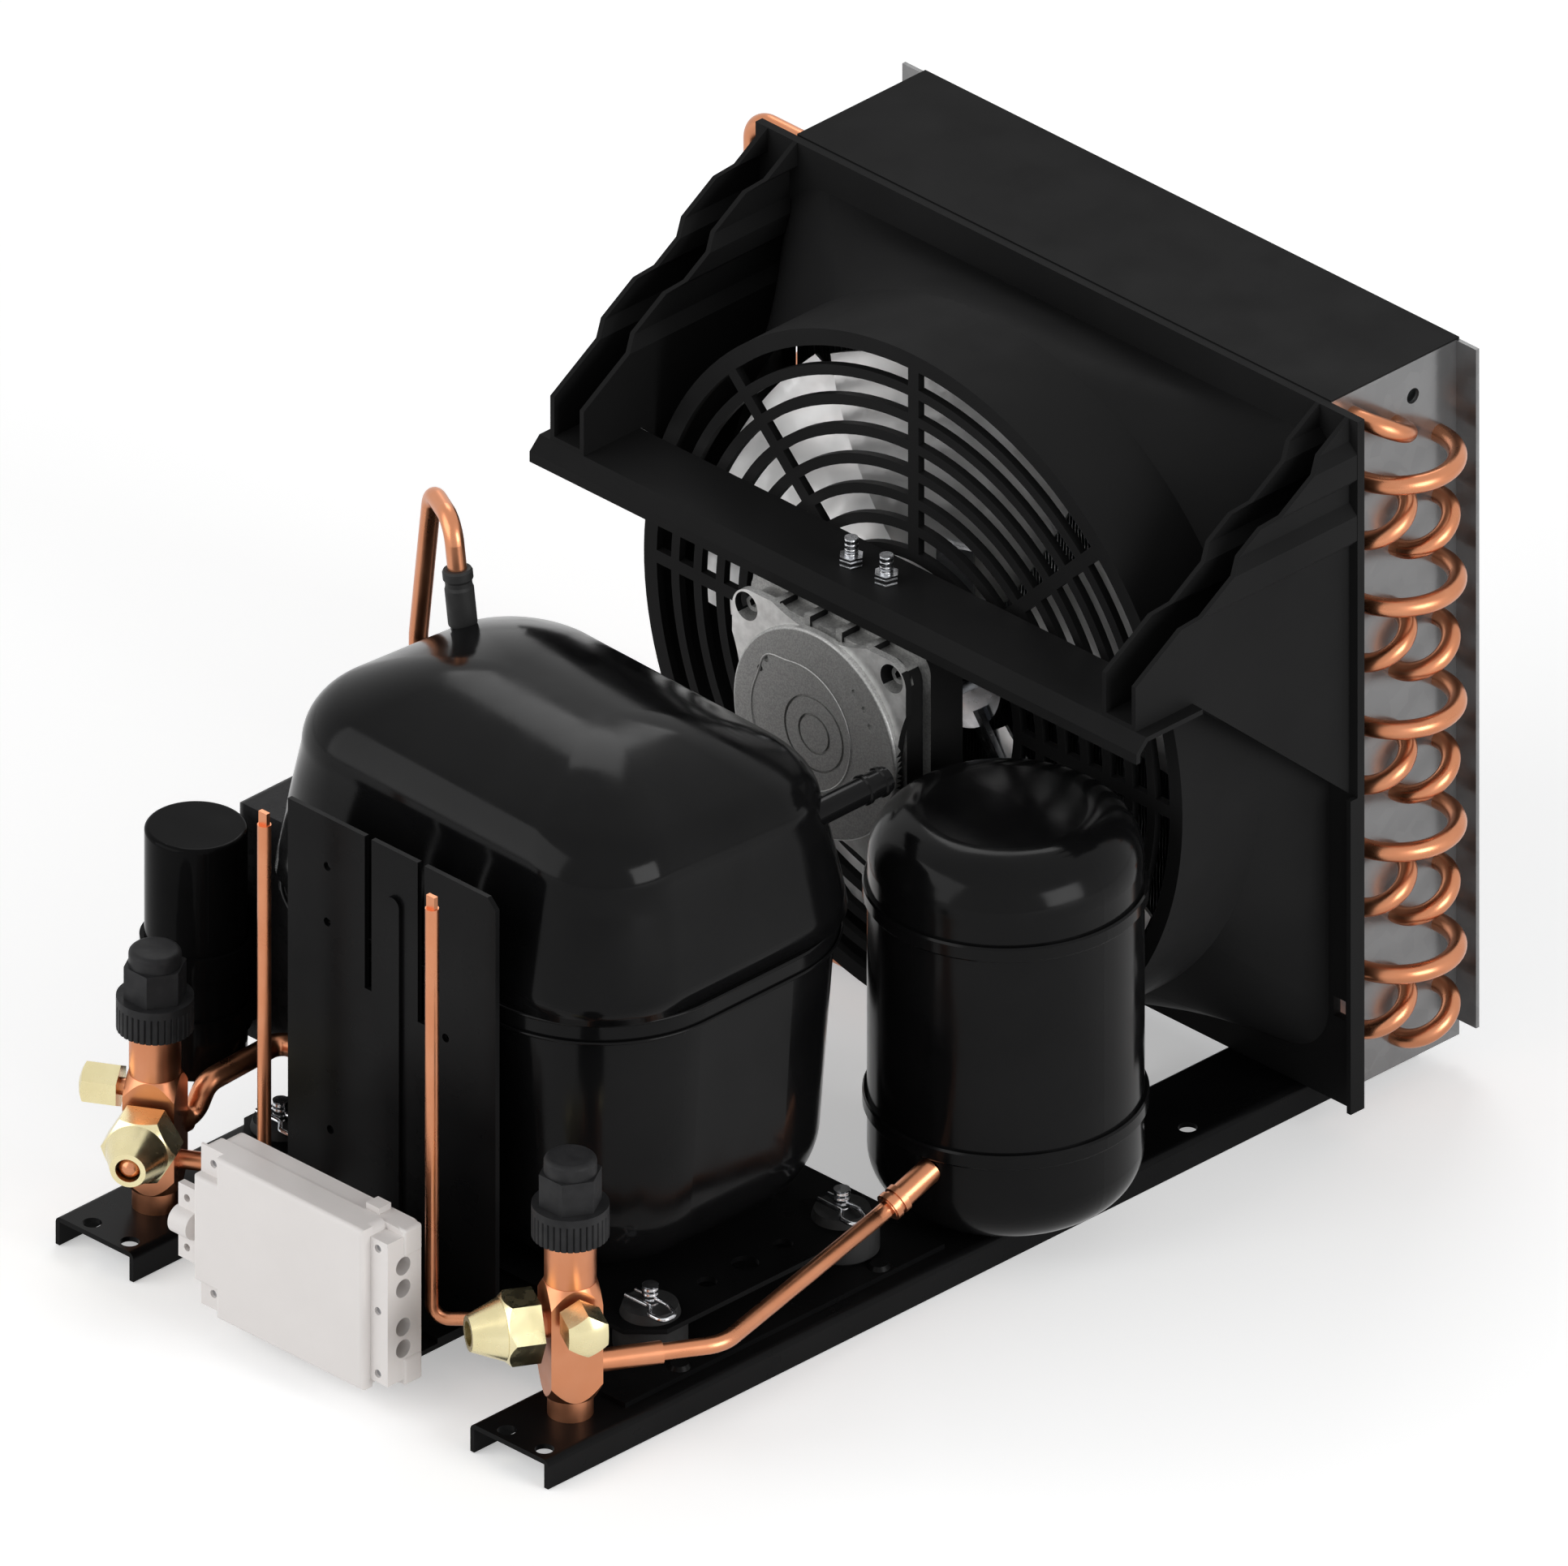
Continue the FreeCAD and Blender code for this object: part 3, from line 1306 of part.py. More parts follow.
def return_bends_right():
    x = coil_half
    solids = [half_bend((x, row_y(1), outer_level(0)), (x, row_y(2), middle_level(0)), 1)]
    for step in range(1, level_count, 2):
        wide_z = outer_level(step)
        solids.append(half_bend((x, row_y(1), wide_z), (x, row_y(3), wide_z), 1))
        solids.append(half_bend((x, row_y(3), outer_level(step + 1)), (x, row_y(2), middle_level(step + 1)), 1))
        solids.append(half_bend((x, row_y(2), middle_level(step)), (x, row_y(1), outer_level(step + 1)), 1))
    return group(solids)


def return_bends_left():
    x = -coil_half
    solids = []
    for step in range(0, level_count - 1, 2):
        wide_z = outer_level(step + 2)
        solids.append(half_bend((x, row_y(2), middle_level(step)), (x, row_y(3), outer_level(step + 1)), -1))
        solids.append(half_bend((x, row_y(1), outer_level(step + 1)), (x, row_y(2), middle_level(step + 1)), -1))
        solids.append(half_bend((x, row_y(1), wide_z), (x, row_y(3), wide_z), -1))
    return group(solids)


def coil_cover():
    return block(-coil_half, coil_half, coil_front, coil_front + coil_depth, coil_top, coil_top + 0.8)


def inlet_tube():
    """Hot gas inlet: out of the coil at the top left, then down to a socket."""
    y = row_y(1)
    z = outer_level(0)
    x = -coil_half - inlet_reach
    leg = tube([(-coil_half, y, z), (x, y, z), (x, y, socket_top - socket_stop)], 9.0, tube_radius)
    low = socket_top - socket_length
    socket = rod(vec(x, y, low), UP, tube_radius + socket_wall, socket_length)
    bore = rod(vec(x, y, low - 1), UP, tube_radius + running_gap, socket_length - socket_stop + 1)
    return fuse_all([leg, socket]).cut(bore)


write("rail_left", rail(-rail_pitch / 2))
write("rail_right", rail(rail_pitch / 2))
write("cross_plate", cross_plate())
write("plate_rivets", plate_rivets())
write("compressor_foot_plate", foot_plate())
write("grommets", grommets())
write("mounting_studs", mounting_studs())
write("hairpin_clips", hairpin_clips())
write("compressor_lower_shell", lower_shell())
write("compressor_upper_shell", upper_shell())
write("compressor_stator", compressor_stator())
write("compressor_rotor", compressor_rotor())
write("pump_block", pump_block())
write("shell_stubs", shell_stubs())
write("suction_sleeve", suction_sleeve())
write("suction_line", suction_line())
write("discharge_line", discharge_line())
write("condensate_line", condensate_line())
write("front_plate", front_plate())
write("electrical_cover", electrical_cover())
write("start_capacitor", start_capacitor())
write("capacitor_strap", capacitor_strap())
write("box_base", box_base())
write("box_cover", box_cover())
write("box_screws", box_screws())
liquid_ports = [(liquid_nut_heading, liquid_nut_z, valve_port_radius, valve_port_reach),
                (liquid_access_heading, liquid_access_z, access_port_radius, access_port_reach)]
suction_ports = [(suction_nut_heading, suction_nut_z, valve_port_radius, valve_port_reach),
                 (suction_access_heading, suction_access_z, access_port_radius, access_port_reach)]
liquid_sockets = [(60, line_low, line_radius, 24.0), (150, gauge_low, gauge_tube_radius, gauge_seat)]
suction_sockets = [(90, suction_port_z, suction_line_radius, suction_port_length - valve_block / 2),
                   (30, gauge_raised, gauge_tube_radius, gauge_seat)]
write("liquid_valve_body", valve_body(valve_x, -valve_turn, liquid_ports, liquid_sockets))
write("suction_valve_body", valve_body(-valve_x, valve_turn, suction_ports, suction_sockets))
for name, x in [("liquid", valve_x), ("suction", -valve_x)]:
    write(name + "_valve_stem", valve_stem(x))
    write(name + "_valve_cap", valve_cap(x))
write("liquid_flare_nut", flare_nut(valve_x, liquid_nut_z, liquid_nut_heading))
write("suction_flare_nut", flare_nut(-valve_x, suction_nut_z, suction_nut_heading))
write("liquid_access_cap", access_cap(valve_x, liquid_access_z, liquid_access_heading))
write("suction_access_cap", access_cap(-valve_x, suction_access_z, suction_access_heading))
write("flare_plug", flare_plug())
write("gauge_tube_left", gauge_tube(gauge_left_x, gauge_raised, -1))
write("gauge_tube_right", gauge_tube(gauge_right_x, gauge_low, 1))
write("liquid_line", liquid_line())
write("receiver_elbow", receiver_elbow())
write("receiver_shell", receiver_shell())
write("shroud", shroud())
write("fan_ring", fan_ring())
write("wing_left", wing(-1))
write("wing_right", wing(1))
write("motor_bar", motor_bar())
write("fan_guard", fan_guard())
write("motor_housing", motor_housing())
write("motor_bracket", motor_bracket())
write("motor_studs_and_nuts", motor_studs_and_nuts())
write("fan_shaft", fan_shaft())
write("fan_hub", fan_hub())
write("fan_blades", fan_blades())
write("coil_fins", coil_fins())
write("end_plate_left", end_plate(-1))
write("end_plate_right", end_plate(1))
write("return_bends_left", return_bends_left())
write("return_bends_right", return_bends_right())
write("coil_cover", coil_cover())
write("inlet_tube", inlet_tube())
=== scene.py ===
import bmesh
import bpy
import math
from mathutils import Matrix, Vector


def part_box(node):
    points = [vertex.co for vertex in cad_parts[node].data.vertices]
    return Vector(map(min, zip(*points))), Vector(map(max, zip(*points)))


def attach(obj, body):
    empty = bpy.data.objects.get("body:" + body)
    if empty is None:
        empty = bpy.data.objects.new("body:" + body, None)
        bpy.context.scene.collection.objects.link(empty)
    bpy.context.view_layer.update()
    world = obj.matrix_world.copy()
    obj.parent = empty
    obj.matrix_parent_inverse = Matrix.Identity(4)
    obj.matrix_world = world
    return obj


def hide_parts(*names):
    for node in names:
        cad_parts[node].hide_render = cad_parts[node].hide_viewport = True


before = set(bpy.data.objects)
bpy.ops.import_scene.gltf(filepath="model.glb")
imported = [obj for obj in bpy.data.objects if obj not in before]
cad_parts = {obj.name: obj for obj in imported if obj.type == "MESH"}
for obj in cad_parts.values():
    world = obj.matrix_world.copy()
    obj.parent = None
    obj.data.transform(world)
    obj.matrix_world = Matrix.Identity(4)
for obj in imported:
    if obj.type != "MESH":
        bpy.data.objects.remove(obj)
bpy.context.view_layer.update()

print("frame loaded:", len(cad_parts), "nodes")


# parallel projection, straight onto the corner from 30 degrees up
view = {"aim": (0.0057, 0.0245, 0.1401), "back": (0.6124, -0.6124, 0.5), "distance": 2.5, "width": 0.5553}


def placeCamera():
    data = bpy.data.cameras.new("studioCamera")
    data.type = "ORTHO"
    data.ortho_scale = view["width"]
    camera = bpy.data.objects.new("studioCamera", data)
    bpy.context.scene.collection.objects.link(camera)
    back = Vector(view["back"])
    camera.location = Vector(view["aim"]) + back * view["distance"]
    camera.rotation_mode = "QUATERNION"
    camera.rotation_quaternion = (-back).to_track_quat("-Z", "Y")
    bpy.context.scene.camera = camera


# soft panels round the unit, their power in watts
lampPlan = {
    "frontPanel": {"at": (-0.95, -2.15, 1.15), "size": (2.6, 2.2), "power": 35.0},
    "sidePanel": {"at": (2.3, 0.15, 0.75), "size": (1.2, 1.2), "power": 27.0},
    "backPanel": {"at": (-1.1, 1.3, 1.9), "size": (1.0, 1.0), "power": 9.0},
}
surround = {"white": 1.0, "fill": 0.34, "floor": 0.94, "floorLift": 0.38}


# 1 where the camera, a mirror or glass looks, 0 where the surface only gives light
def rayFactor(nodes, links):
    rays = nodes.new("ShaderNodeLightPath")
    first = nodes.new("ShaderNodeMath")
    first.operation = "MAXIMUM"
    links.new(rays.outputs["Is Camera Ray"], first.inputs[0])
    links.new(rays.outputs["Is Glossy Ray"], first.inputs[1])
    second = nodes.new("ShaderNodeMath")
    second.operation = "MAXIMUM"
    links.new(first.outputs[0], second.inputs[0])
    links.new(rays.outputs["Is Transmission Ray"], second.inputs[1])
    return second.outputs[0]


def buildSurround():
    scene = bpy.context.scene
    scene.view_settings.view_transform = "Standard"
    world = bpy.data.worlds.new("studioWorld")
    world.use_nodes = True
    nodes, links = world.node_tree.nodes, world.node_tree.links
    nodes.clear()
    output = nodes.new("ShaderNodeOutputWorld")
    seen = nodes.new("ShaderNodeBackground")
    seen.inputs["Strength"].default_value = surround["white"]
    fill = nodes.new("ShaderNodeBackground")
    fill.inputs["Strength"].default_value = surround["fill"]
    for background in (seen, fill):
        background.inputs["Color"].default_value = (1, 1, 1, 1)
    mix = nodes.new("ShaderNodeMixShader")
    links.new(rayFactor(nodes, links), mix.inputs[0])
    links.new(fill.outputs[0], mix.inputs[1])
    links.new(seen.outputs[0], mix.inputs[2])
    links.new(mix.outputs[0], output.inputs["Surface"])
    scene.world = world


floorPlan = {"reach": 4.0, "drop": 0.0005}


def buildFloor():
    mesh = bpy.data.meshes.new("studioFloor")
    reach = floorPlan["reach"]
    corners = [(-reach, -reach, 0), (reach, -reach, 0), (reach, reach, 0), (-reach, reach, 0)]
    mesh.from_pydata(corners, [], [(0, 1, 2, 3)])
    floor = bpy.data.objects.new("studioFloor", mesh)
    floor.location.z = -floorPlan["drop"]
    bpy.context.scene.collection.objects.link(floor)
    material = bpy.data.materials.new("paleFloor")
    material.use_nodes = True
    nodes, links = material.node_tree.nodes, material.node_tree.links
    nodes.clear()
    output = nodes.new("ShaderNodeOutputMaterial")
    matt = nodes.new("ShaderNodeBsdfDiffuse")
    matt.inputs["Color"].default_value = (surround["floor"],) * 3 + (1,)
    lift = nodes.new("ShaderNodeEmission")
    strength = nodes.new("ShaderNodeMath")
    strength.operation = "MULTIPLY"
    strength.inputs[1].default_value = surround["floorLift"]
    links.new(rayFactor(nodes, links), strength.inputs[0])
    links.new(strength.outputs[0], lift.inputs["Strength"])
    both = nodes.new("ShaderNodeAddShader")
    links.new(matt.outputs[0], both.inputs[0])
    links.new(lift.outputs[0], both.inputs[1])
    links.new(both.outputs[0], output.inputs["Surface"])
    mesh.materials.append(material)


def hangLamps():
    for name, plan in lampPlan.items():
        data = bpy.data.lights.new(name, "AREA")
        data.shape = "RECTANGLE"
        data.size, data.size_y = plan["size"]
        data.energy = plan["power"]
        lamp = bpy.data.objects.new(name, data)
        lamp.location = plan["at"]
        lamp.rotation_mode = "QUATERNION"
        lamp.rotation_quaternion = (Vector(view["aim"]) - lamp.location).to_track_quat("-Z", "Y")
        bpy.context.scene.collection.objects.link(lamp)


placeCamera()
buildSurround()
buildFloor()
hangLamps()
print("camera and studio ready")


# one material with its shader, and chains of noise for its colour, gloss and relief
class Finish:
    def __init__(self, name, color, rough, metal=0.0, specular=0.5):
        self.material = bpy.data.materials.new(name)
        self.material.use_nodes = True
        self.nodes = self.material.node_tree.nodes
        self.links = self.material.node_tree.links
        self.shader = self.nodes["Principled BSDF"]
        self.shader.inputs["Base Color"].default_value = tuple(color) + (1,)
        self.shader.inputs["Roughness"].default_value = rough
        self.shader.inputs["Metallic"].default_value = metal
        self.shader.inputs["Specular IOR Level"].default_value = specular
        self.color = color
        self.rough = rough
        self.place = self.nodes.new("ShaderNodeTexCoord").outputs["Object"]
        self.height = None

    def stretched(self, scale):
        mapping = self.nodes.new("ShaderNodeMapping")
        mapping.inputs["Scale"].default_value = scale
        self.links.new(self.place, mapping.inputs["Vector"])
        return mapping.outputs["Vector"]

    def noise(self, scale, detail=3.0, stretch=None):
        node = self.nodes.new("ShaderNodeTexNoise")
        node.inputs["Scale"].default_value = scale
        node.inputs["Detail"].default_value = detail
        self.links.new(self.stretched(stretch) if stretch else self.place, node.inputs["Vector"])
        return node.outputs["Fac"]

    def cells(self, scale):
        node = self.nodes.new("ShaderNodeTexVoronoi")
        node.inputs["Scale"].default_value = scale
        self.links.new(self.place, node.inputs["Vector"])
        return node.outputs["Color"]

    def rings(self, scale, axis):
        node = self.nodes.new("ShaderNodeTexWave")
        node.bands_direction = axis
        node.inputs["Scale"].default_value = scale
        self.links.new(self.place, node.inputs["Vector"])
        return node.outputs["Fac"]

    def ramp(self, source, low, high, start=0.3, end=0.7):
        node = self.nodes.new("ShaderNodeMapRange")
        node.inputs["From Min"].default_value = start
        node.inputs["From Max"].default_value = end
        node.inputs["To Min"].default_value = low
        node.inputs["To Max"].default_value = high
        self.links.new(source, node.inputs["Value"])
        return node.outputs["Result"]

    def tint(self, source, other, share=1.0, start=0.35, end=0.65):
        mix = self.nodes.new("ShaderNodeMix")
        mix.data_type = "RGBA"
        colorInputs = [socket for socket in mix.inputs if socket.type == "RGBA"]
        colorOutput = [socket for socket in mix.outputs if socket.type == "RGBA"][0]
        before = self.shader.inputs["Base Color"]
        if before.is_linked:
            self.links.new(before.links[0].from_socket, colorInputs[0])
        else:
            colorInputs[0].default_value = tuple(self.color) + (1,)
        colorInputs[1].default_value = tuple(other) + (1,)
        self.links.new(self.ramp(source, 0.0, share, start, end), mix.inputs[0])
        self.links.new(colorOutput, before)

    def sheen(self, source, spread, start=0.3, end=0.7):
        self.links.new(self.ramp(source, self.rough - spread, self.rough + spread, start, end),
                       self.shader.inputs["Roughness"])

    def bump(self, source, depth, strength=1.0):
        node = self.nodes.new("ShaderNodeBump")
        node.inputs["Distance"].default_value = depth
        node.inputs["Strength"].default_value = strength
        self.links.new(source, node.inputs["Height"])
        if self.height:
            self.links.new(self.height, node.inputs["Normal"])
        self.height = node.outputs["Normal"]
        self.links.new(self.height, self.shader.inputs["Normal"])


# one finish on whole solids of the frame
def dress(finish, *names):
    for name in names:
        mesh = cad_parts[name].data
        mesh.materials.clear()
        mesh.materials.append(finish.material)


# an added piece in one of the finishes below
def addPiece(name, data, material):
    piece = bpy.data.objects.new(name, data)
    bpy.context.scene.collection.objects.link(piece)
    data.materials.append(bpy.data.materials[material])
    return piece


# baked enamel on drawn steel: deep black, faint orange peel
enamel = {"color": (0.0036, 0.0036, 0.0038), "haze": (0.0064, 0.0064, 0.0066),
          "rough": 0.15, "specular": 0.1}


def glossEnamel(name, rough=enamel["rough"], specular=enamel["specular"]):
    finish = Finish(name, enamel["color"], rough, specular=specular)
    finish.tint(finish.noise(scale=22.0, detail=5.0), enamel["haze"], share=0.8)
    finish.sheen(finish.noise(scale=60.0, detail=6.0), spread=0.05)
    finish.bump(finish.noise(scale=420.0, detail=2.0), depth=0.00003, strength=0.25)
    finish.bump(finish.noise(scale=1700.0, detail=2.0), depth=0.00001, strength=0.2)
    return finish


# powder coat on sheet steel, rubbed a little paler where hands go
powder = {"color": (0.0135, 0.0135, 0.0137), "rub": (0.019, 0.019, 0.019),
          "rough": 0.46, "specular": 0.022}


def satinPaint(name):
    finish = Finish(name, powder["color"], powder["rough"], specular=powder["specular"])
    finish.tint(finish.noise(scale=14.0, detail=6.0), powder["rub"], share=0.5)
    finish.sheen(finish.noise(scale=45.0, detail=5.0), spread=0.07)
    finish.bump(finish.noise(scale=1900.0, detail=3.0), depth=0.00002, strength=0.35)
    return finish


# drawn copper tube with patches of tarnish
copper = {"color": (0.60, 0.245, 0.125), "tarnish": (0.40, 0.145, 0.07),
          "pale": (0.72, 0.37, 0.23), "rough": 0.3}


def drawnCopper(name, rough=copper["rough"]):
    finish = Finish(name, copper["color"], rough, metal=1.0)
    finish.tint(finish.noise(scale=26.0, detail=6.0), copper["tarnish"], share=0.4, start=0.35, end=0.8)
    finish.tint(finish.noise(scale=70.0, detail=4.0), copper["pale"], share=0.25, start=0.4, end=0.8)
    finish.sheen(finish.noise(scale=90.0, detail=6.0), spread=0.06)
    finish.bump(finish.noise(scale=900.0, detail=3.0), depth=0.000012, strength=0.3)
    return finish


# bright turned brass
brass = {"color": (0.72, 0.63, 0.36), "worn": (0.84, 0.76, 0.48), "rough": 0.26}


def turnedBrass(name):
    finish = Finish(name, brass["color"], brass["rough"], metal=1.0)
    finish.tint(finish.noise(scale=60.0, detail=5.0), brass["worn"], share=0.6)
    finish.sheen(finish.noise(scale=160.0, detail=5.0), spread=0.06)
    finish.bump(finish.noise(scale=2600.0, detail=3.0), depth=0.000012, strength=0.35)
    return finish


# clear zinc plate
zinc = {"color": (0.62, 0.63, 0.65), "dull": (0.42, 0.43, 0.45), "rough": 0.22}


def platedSteel(name, color=zinc["color"], rough=zinc["rough"]):
    finish = Finish(name, color, rough, metal=1.0)
    finish.tint(finish.noise(scale=90.0, detail=5.0), zinc["dull"], share=0.5)
    finish.sheen(finish.noise(scale=240.0, detail=4.0), spread=0.07)
    finish.bump(finish.noise(scale=3200.0, detail=2.0), depth=0.000008, strength=0.3)
    return finish


# hot-dipped sheet with its spangle
galvanised = {"color": (0.20, 0.201, 0.203), "spangle": (0.235, 0.236, 0.238), "rough": 0.2, "cell": 160.0}


def zincSheet(name):
    finish = Finish(name, galvanised["color"], galvanised["rough"], metal=0.7)
    finish.tint(finish.cells(galvanised["cell"]), galvanised["spangle"], share=0.6, start=0.2, end=0.8)
    finish.sheen(finish.cells(galvanised["cell"]), spread=0.03, start=0.2, end=0.8)
    finish.bump(finish.noise(scale=1400.0, detail=3.0), depth=0.00001, strength=0.3)
    return finish


# blasted die casting
casting = {"color": (0.33, 0.33, 0.325), "blast": (0.45, 0.45, 0.44), "rough": 0.5, "grain": 1500.0}


def blastedCasting(name):
    finish = Finish(name, casting["color"], casting["rough"], metal=0.75)
    finish.tint(finish.noise(casting["grain"], detail=4.0), casting["blast"], share=0.9, start=0.4, end=0.62)
    finish.sheen(finish.noise(scale=500.0, detail=4.0), spread=0.08)
    finish.bump(finish.noise(casting["grain"], detail=4.0), depth=0.00012, strength=0.7)
    return finish


# rolled aluminium with soft bands across it
rolled = {"color": (0.94, 0.935, 0.93), "band": (0.45, 0.45, 0.45), "bandScale": 9.0, "rough": 0.38}


def rolledAluminium(name):
    finish = Finish(name, rolled["color"], rolled["rough"], metal=0.85)
    bands = finish.noise(rolled["bandScale"], detail=1.0, stretch=(1, 1, 3))
    finish.tint(bands, rolled["band"], share=0.8, start=0.48, end=0.72)
    finish.sheen(finish.noise(scale=300.0, detail=5.0), spread=0.06)
    finish.bump(finish.noise(scale=2200.0, detail=3.0), depth=0.00002, strength=0.35)
    return finish


# warm white moulding
plastic = {"color": (0.80, 0.765, 0.745), "shade": (0.74, 0.705, 0.685), "rough": 0.42, "specular": 0.4}


def mouldedWhite(name):
    finish = Finish(name, plastic["color"], plastic["rough"], specular=plastic["specular"])
    finish.tint(finish.noise(scale=40.0, detail=5.0), plastic["shade"], share=0.35)
    finish.sheen(finish.noise(scale=120.0, detail=5.0), spread=0.06)
    finish.bump(finish.noise(scale=2400.0, detail=4.0), depth=0.00004, strength=0.45)
    return finish


# black moulding with a fine grain
capPlastic = {"color": (0.017, 0.017, 0.018), "scuff": (0.032, 0.032, 0.033), "rough": 0.5, "specular": 0.12}


def mouldedBlack(name, rough=capPlastic["rough"], specular=capPlastic["specular"]):
    finish = Finish(name, capPlastic["color"], rough, specular=specular)
    finish.tint(finish.noise(scale=180.0, detail=5.0), capPlastic["scuff"], share=0.5)
    finish.sheen(finish.noise(scale=260.0, detail=4.0), spread=0.07)
    finish.bump(finish.noise(scale=3000.0, detail=4.0), depth=0.00004, strength=0.5)
    return finish


# rubber with a dull bloom
rubber = {"color": (0.011, 0.011, 0.011), "bloom": (0.03, 0.03, 0.03), "rough": 0.62, "specular": 0.3}


def blackRubber(name):
    finish = Finish(name, rubber["color"], rubber["rough"], specular=rubber["specular"])
    finish.tint(finish.noise(scale=70.0, detail=6.0), rubber["bloom"], share=0.5)
    finish.sheen(finish.noise(scale=200.0, detail=4.0), spread=0.1)
    finish.bump(finish.noise(scale=900.0, detail=4.0), depth=0.00006, strength=0.4)
    return finish


# fins of thin foil, rippled along their height
foil = {"color": (0.50, 0.51, 0.52), "shade": (0.36, 0.37, 0.38), "rough": 0.36}


def finFoil(name):
    finish = Finish(name, foil["color"], foil["rough"], metal=1.0)
    finish.tint(finish.noise(scale=50.0, detail=4.0), foil["shade"], share=0.5)
    finish.sheen(finish.noise(scale=200.0, detail=4.0), spread=0.08)
    finish.bump(finish.rings(scale=60.0, axis="Z"), depth=0.0003, strength=0.5)
    finish.bump(finish.noise(scale=500.0, detail=2.0, stretch=(1, 1, 4)), depth=0.00005, strength=0.3)
    return finish


# rolled threads show as rings along the axis
thread = {"turns": 160.0, "depth": 0.00025, "strength": 0.8}


def threadedSteel(name, axis):
    finish = platedSteel(name)
    finish.bump(finish.rings(thread["turns"], axis), depth=thread["depth"], strength=thread["strength"])
    return finish


dress(glossEnamel("shellEnamel"), "compressor_lower_shell", "compressor_upper_shell", "shell_stubs",
      "receiver_shell")
dress(glossEnamel("railPaint", rough=0.3, specular=0.06), "rail_left", "rail_right", "cross_plate",
      "plate_rivets", "compressor_foot_plate", "front_plate")
dress(satinPaint("ductPaint"), "shroud", "fan_ring", "wing_left", "wing_right", "motor_bar", "fan_guard",
      "coil_cover")
dress(drawnCopper("lineCopper"), "suction_line", "discharge_line", "condensate_line", "gauge_tube_left",
      "gauge_tube_right", "liquid_line", "receiver_elbow", "inlet_tube", "flare_plug", "return_bends_left",
      "return_bends_right")
dress(drawnCopper("valveCopper", rough=0.33), "liquid_valve_body", "suction_valve_body")
dress(turnedBrass("fittingBrass"), "liquid_flare_nut", "suction_flare_nut", "liquid_access_cap",
      "suction_access_cap")
dress(platedSteel("platedFixings"), "hairpin_clips", "box_screws", "liquid_valve_stem", "suction_valve_stem",
      "fan_shaft", "fan_hub", "motor_bracket")
dress(threadedSteel("threadedStuds", "Z"), "mounting_studs", "motor_studs_and_nuts")
dress(platedSteel("lamination", color=(0.25, 0.26, 0.28), rough=0.4), "compressor_stator",
      "compressor_rotor", "pump_block")
dress(blackRubber("mountRubber"), "grommets", "suction_sleeve")
dress(mouldedBlack("capPlastic"), "liquid_valve_cap", "suction_valve_cap")
dress(mouldedBlack("coverPlastic", rough=0.3, specular=0.05), "electrical_cover")
dress(glossEnamel("canEnamel", rough=0.1, specular=0.03), "start_capacitor", "capacitor_strap")
dress(mouldedWhite("boxPlastic"), "box_base", "box_cover")
dress(rolledAluminium("bladeAluminium"), "fan_blades")
dress(zincSheet("endPlateZinc"), "end_plate_left", "end_plate_right")
dress(finFoil("finFoil"), "coil_fins")
print("finishes on the solids")

# the motor's cast cap is blasted and its star plate machined; the body behind the rim is painted, except
# faces turned upward; the sideways flanks take the same dark paint as painted shade
motor = {"starDepth": 0.0025, "rimDepth": 0.030, "tolerance": 0.0002,
         "facing": -0.9, "shadedFlank": 0.75, "topward": 0.5,
         "machined": (0.92, 0.92, 0.91), "machinedRough": 0.4, "machinedMetal": 0.7}


def dressMotor():
    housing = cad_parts["motor_housing"]
    dress(blastedCasting("motorCasting"), "motor_housing")
    mesh = housing.data
    machined = Finish("machinedFace", motor["machined"], motor["machinedRough"], metal=motor["machinedMetal"])
    machined.tint(machined.noise(scale=300.0, detail=4.0), casting["blast"], share=0.3)
    machined.sheen(machined.noise(scale=180.0, detail=4.0), spread=0.08)
    machined.bump(machined.noise(scale=1800.0, detail=3.0), depth=0.00002, strength=0.4)
    machinedSlot = len(mesh.materials)
    mesh.materials.append(machined.material)
    # dark paint for the body behind the rim, the same material laid on the sideways flanks as painted shade
    paintAndShade = satinPaint("motorPaint")
    paintAndShade.bump(paintAndShade.noise(casting["grain"], detail=4.0), depth=0.00008, strength=0.6)
    paintAndShadeSlot = len(mesh.materials)
    mesh.materials.append(paintAndShade.material)
    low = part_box("motor_housing")[0]
    starAt = low.y + motor["starDepth"]
    paintFrom = low.y + motor["rimDepth"] - motor["tolerance"]
    for face in mesh.polygons:
        place = (housing.matrix_world @ face.center).y
        # painted shade: faces behind the star plate that turn sideways take the dark paint
        onShadedFlank = place > starAt and abs(face.normal.x) > motor["shadedFlank"]
        behindRim = place > paintFrom and face.normal.z < motor["topward"]
        if abs(place - starAt) < motor["tolerance"] and face.normal.y < motor["facing"]:
            face.material_index = machinedSlot
        elif onShadedFlank or behindRim:
            face.material_index = paintAndShadeSlot


dressMotor()

# raised line on the cap, a circle off the axis with a lobe at its upper left
capLine = {"radius": 0.0248, "shift": (-0.0066, 0.0004), "lobe": 0.0035, "lobeAt": 128.0, "lobeWidth": 14.0,
           "thick": 0.0005, "proud": 0.3, "steps": 96}


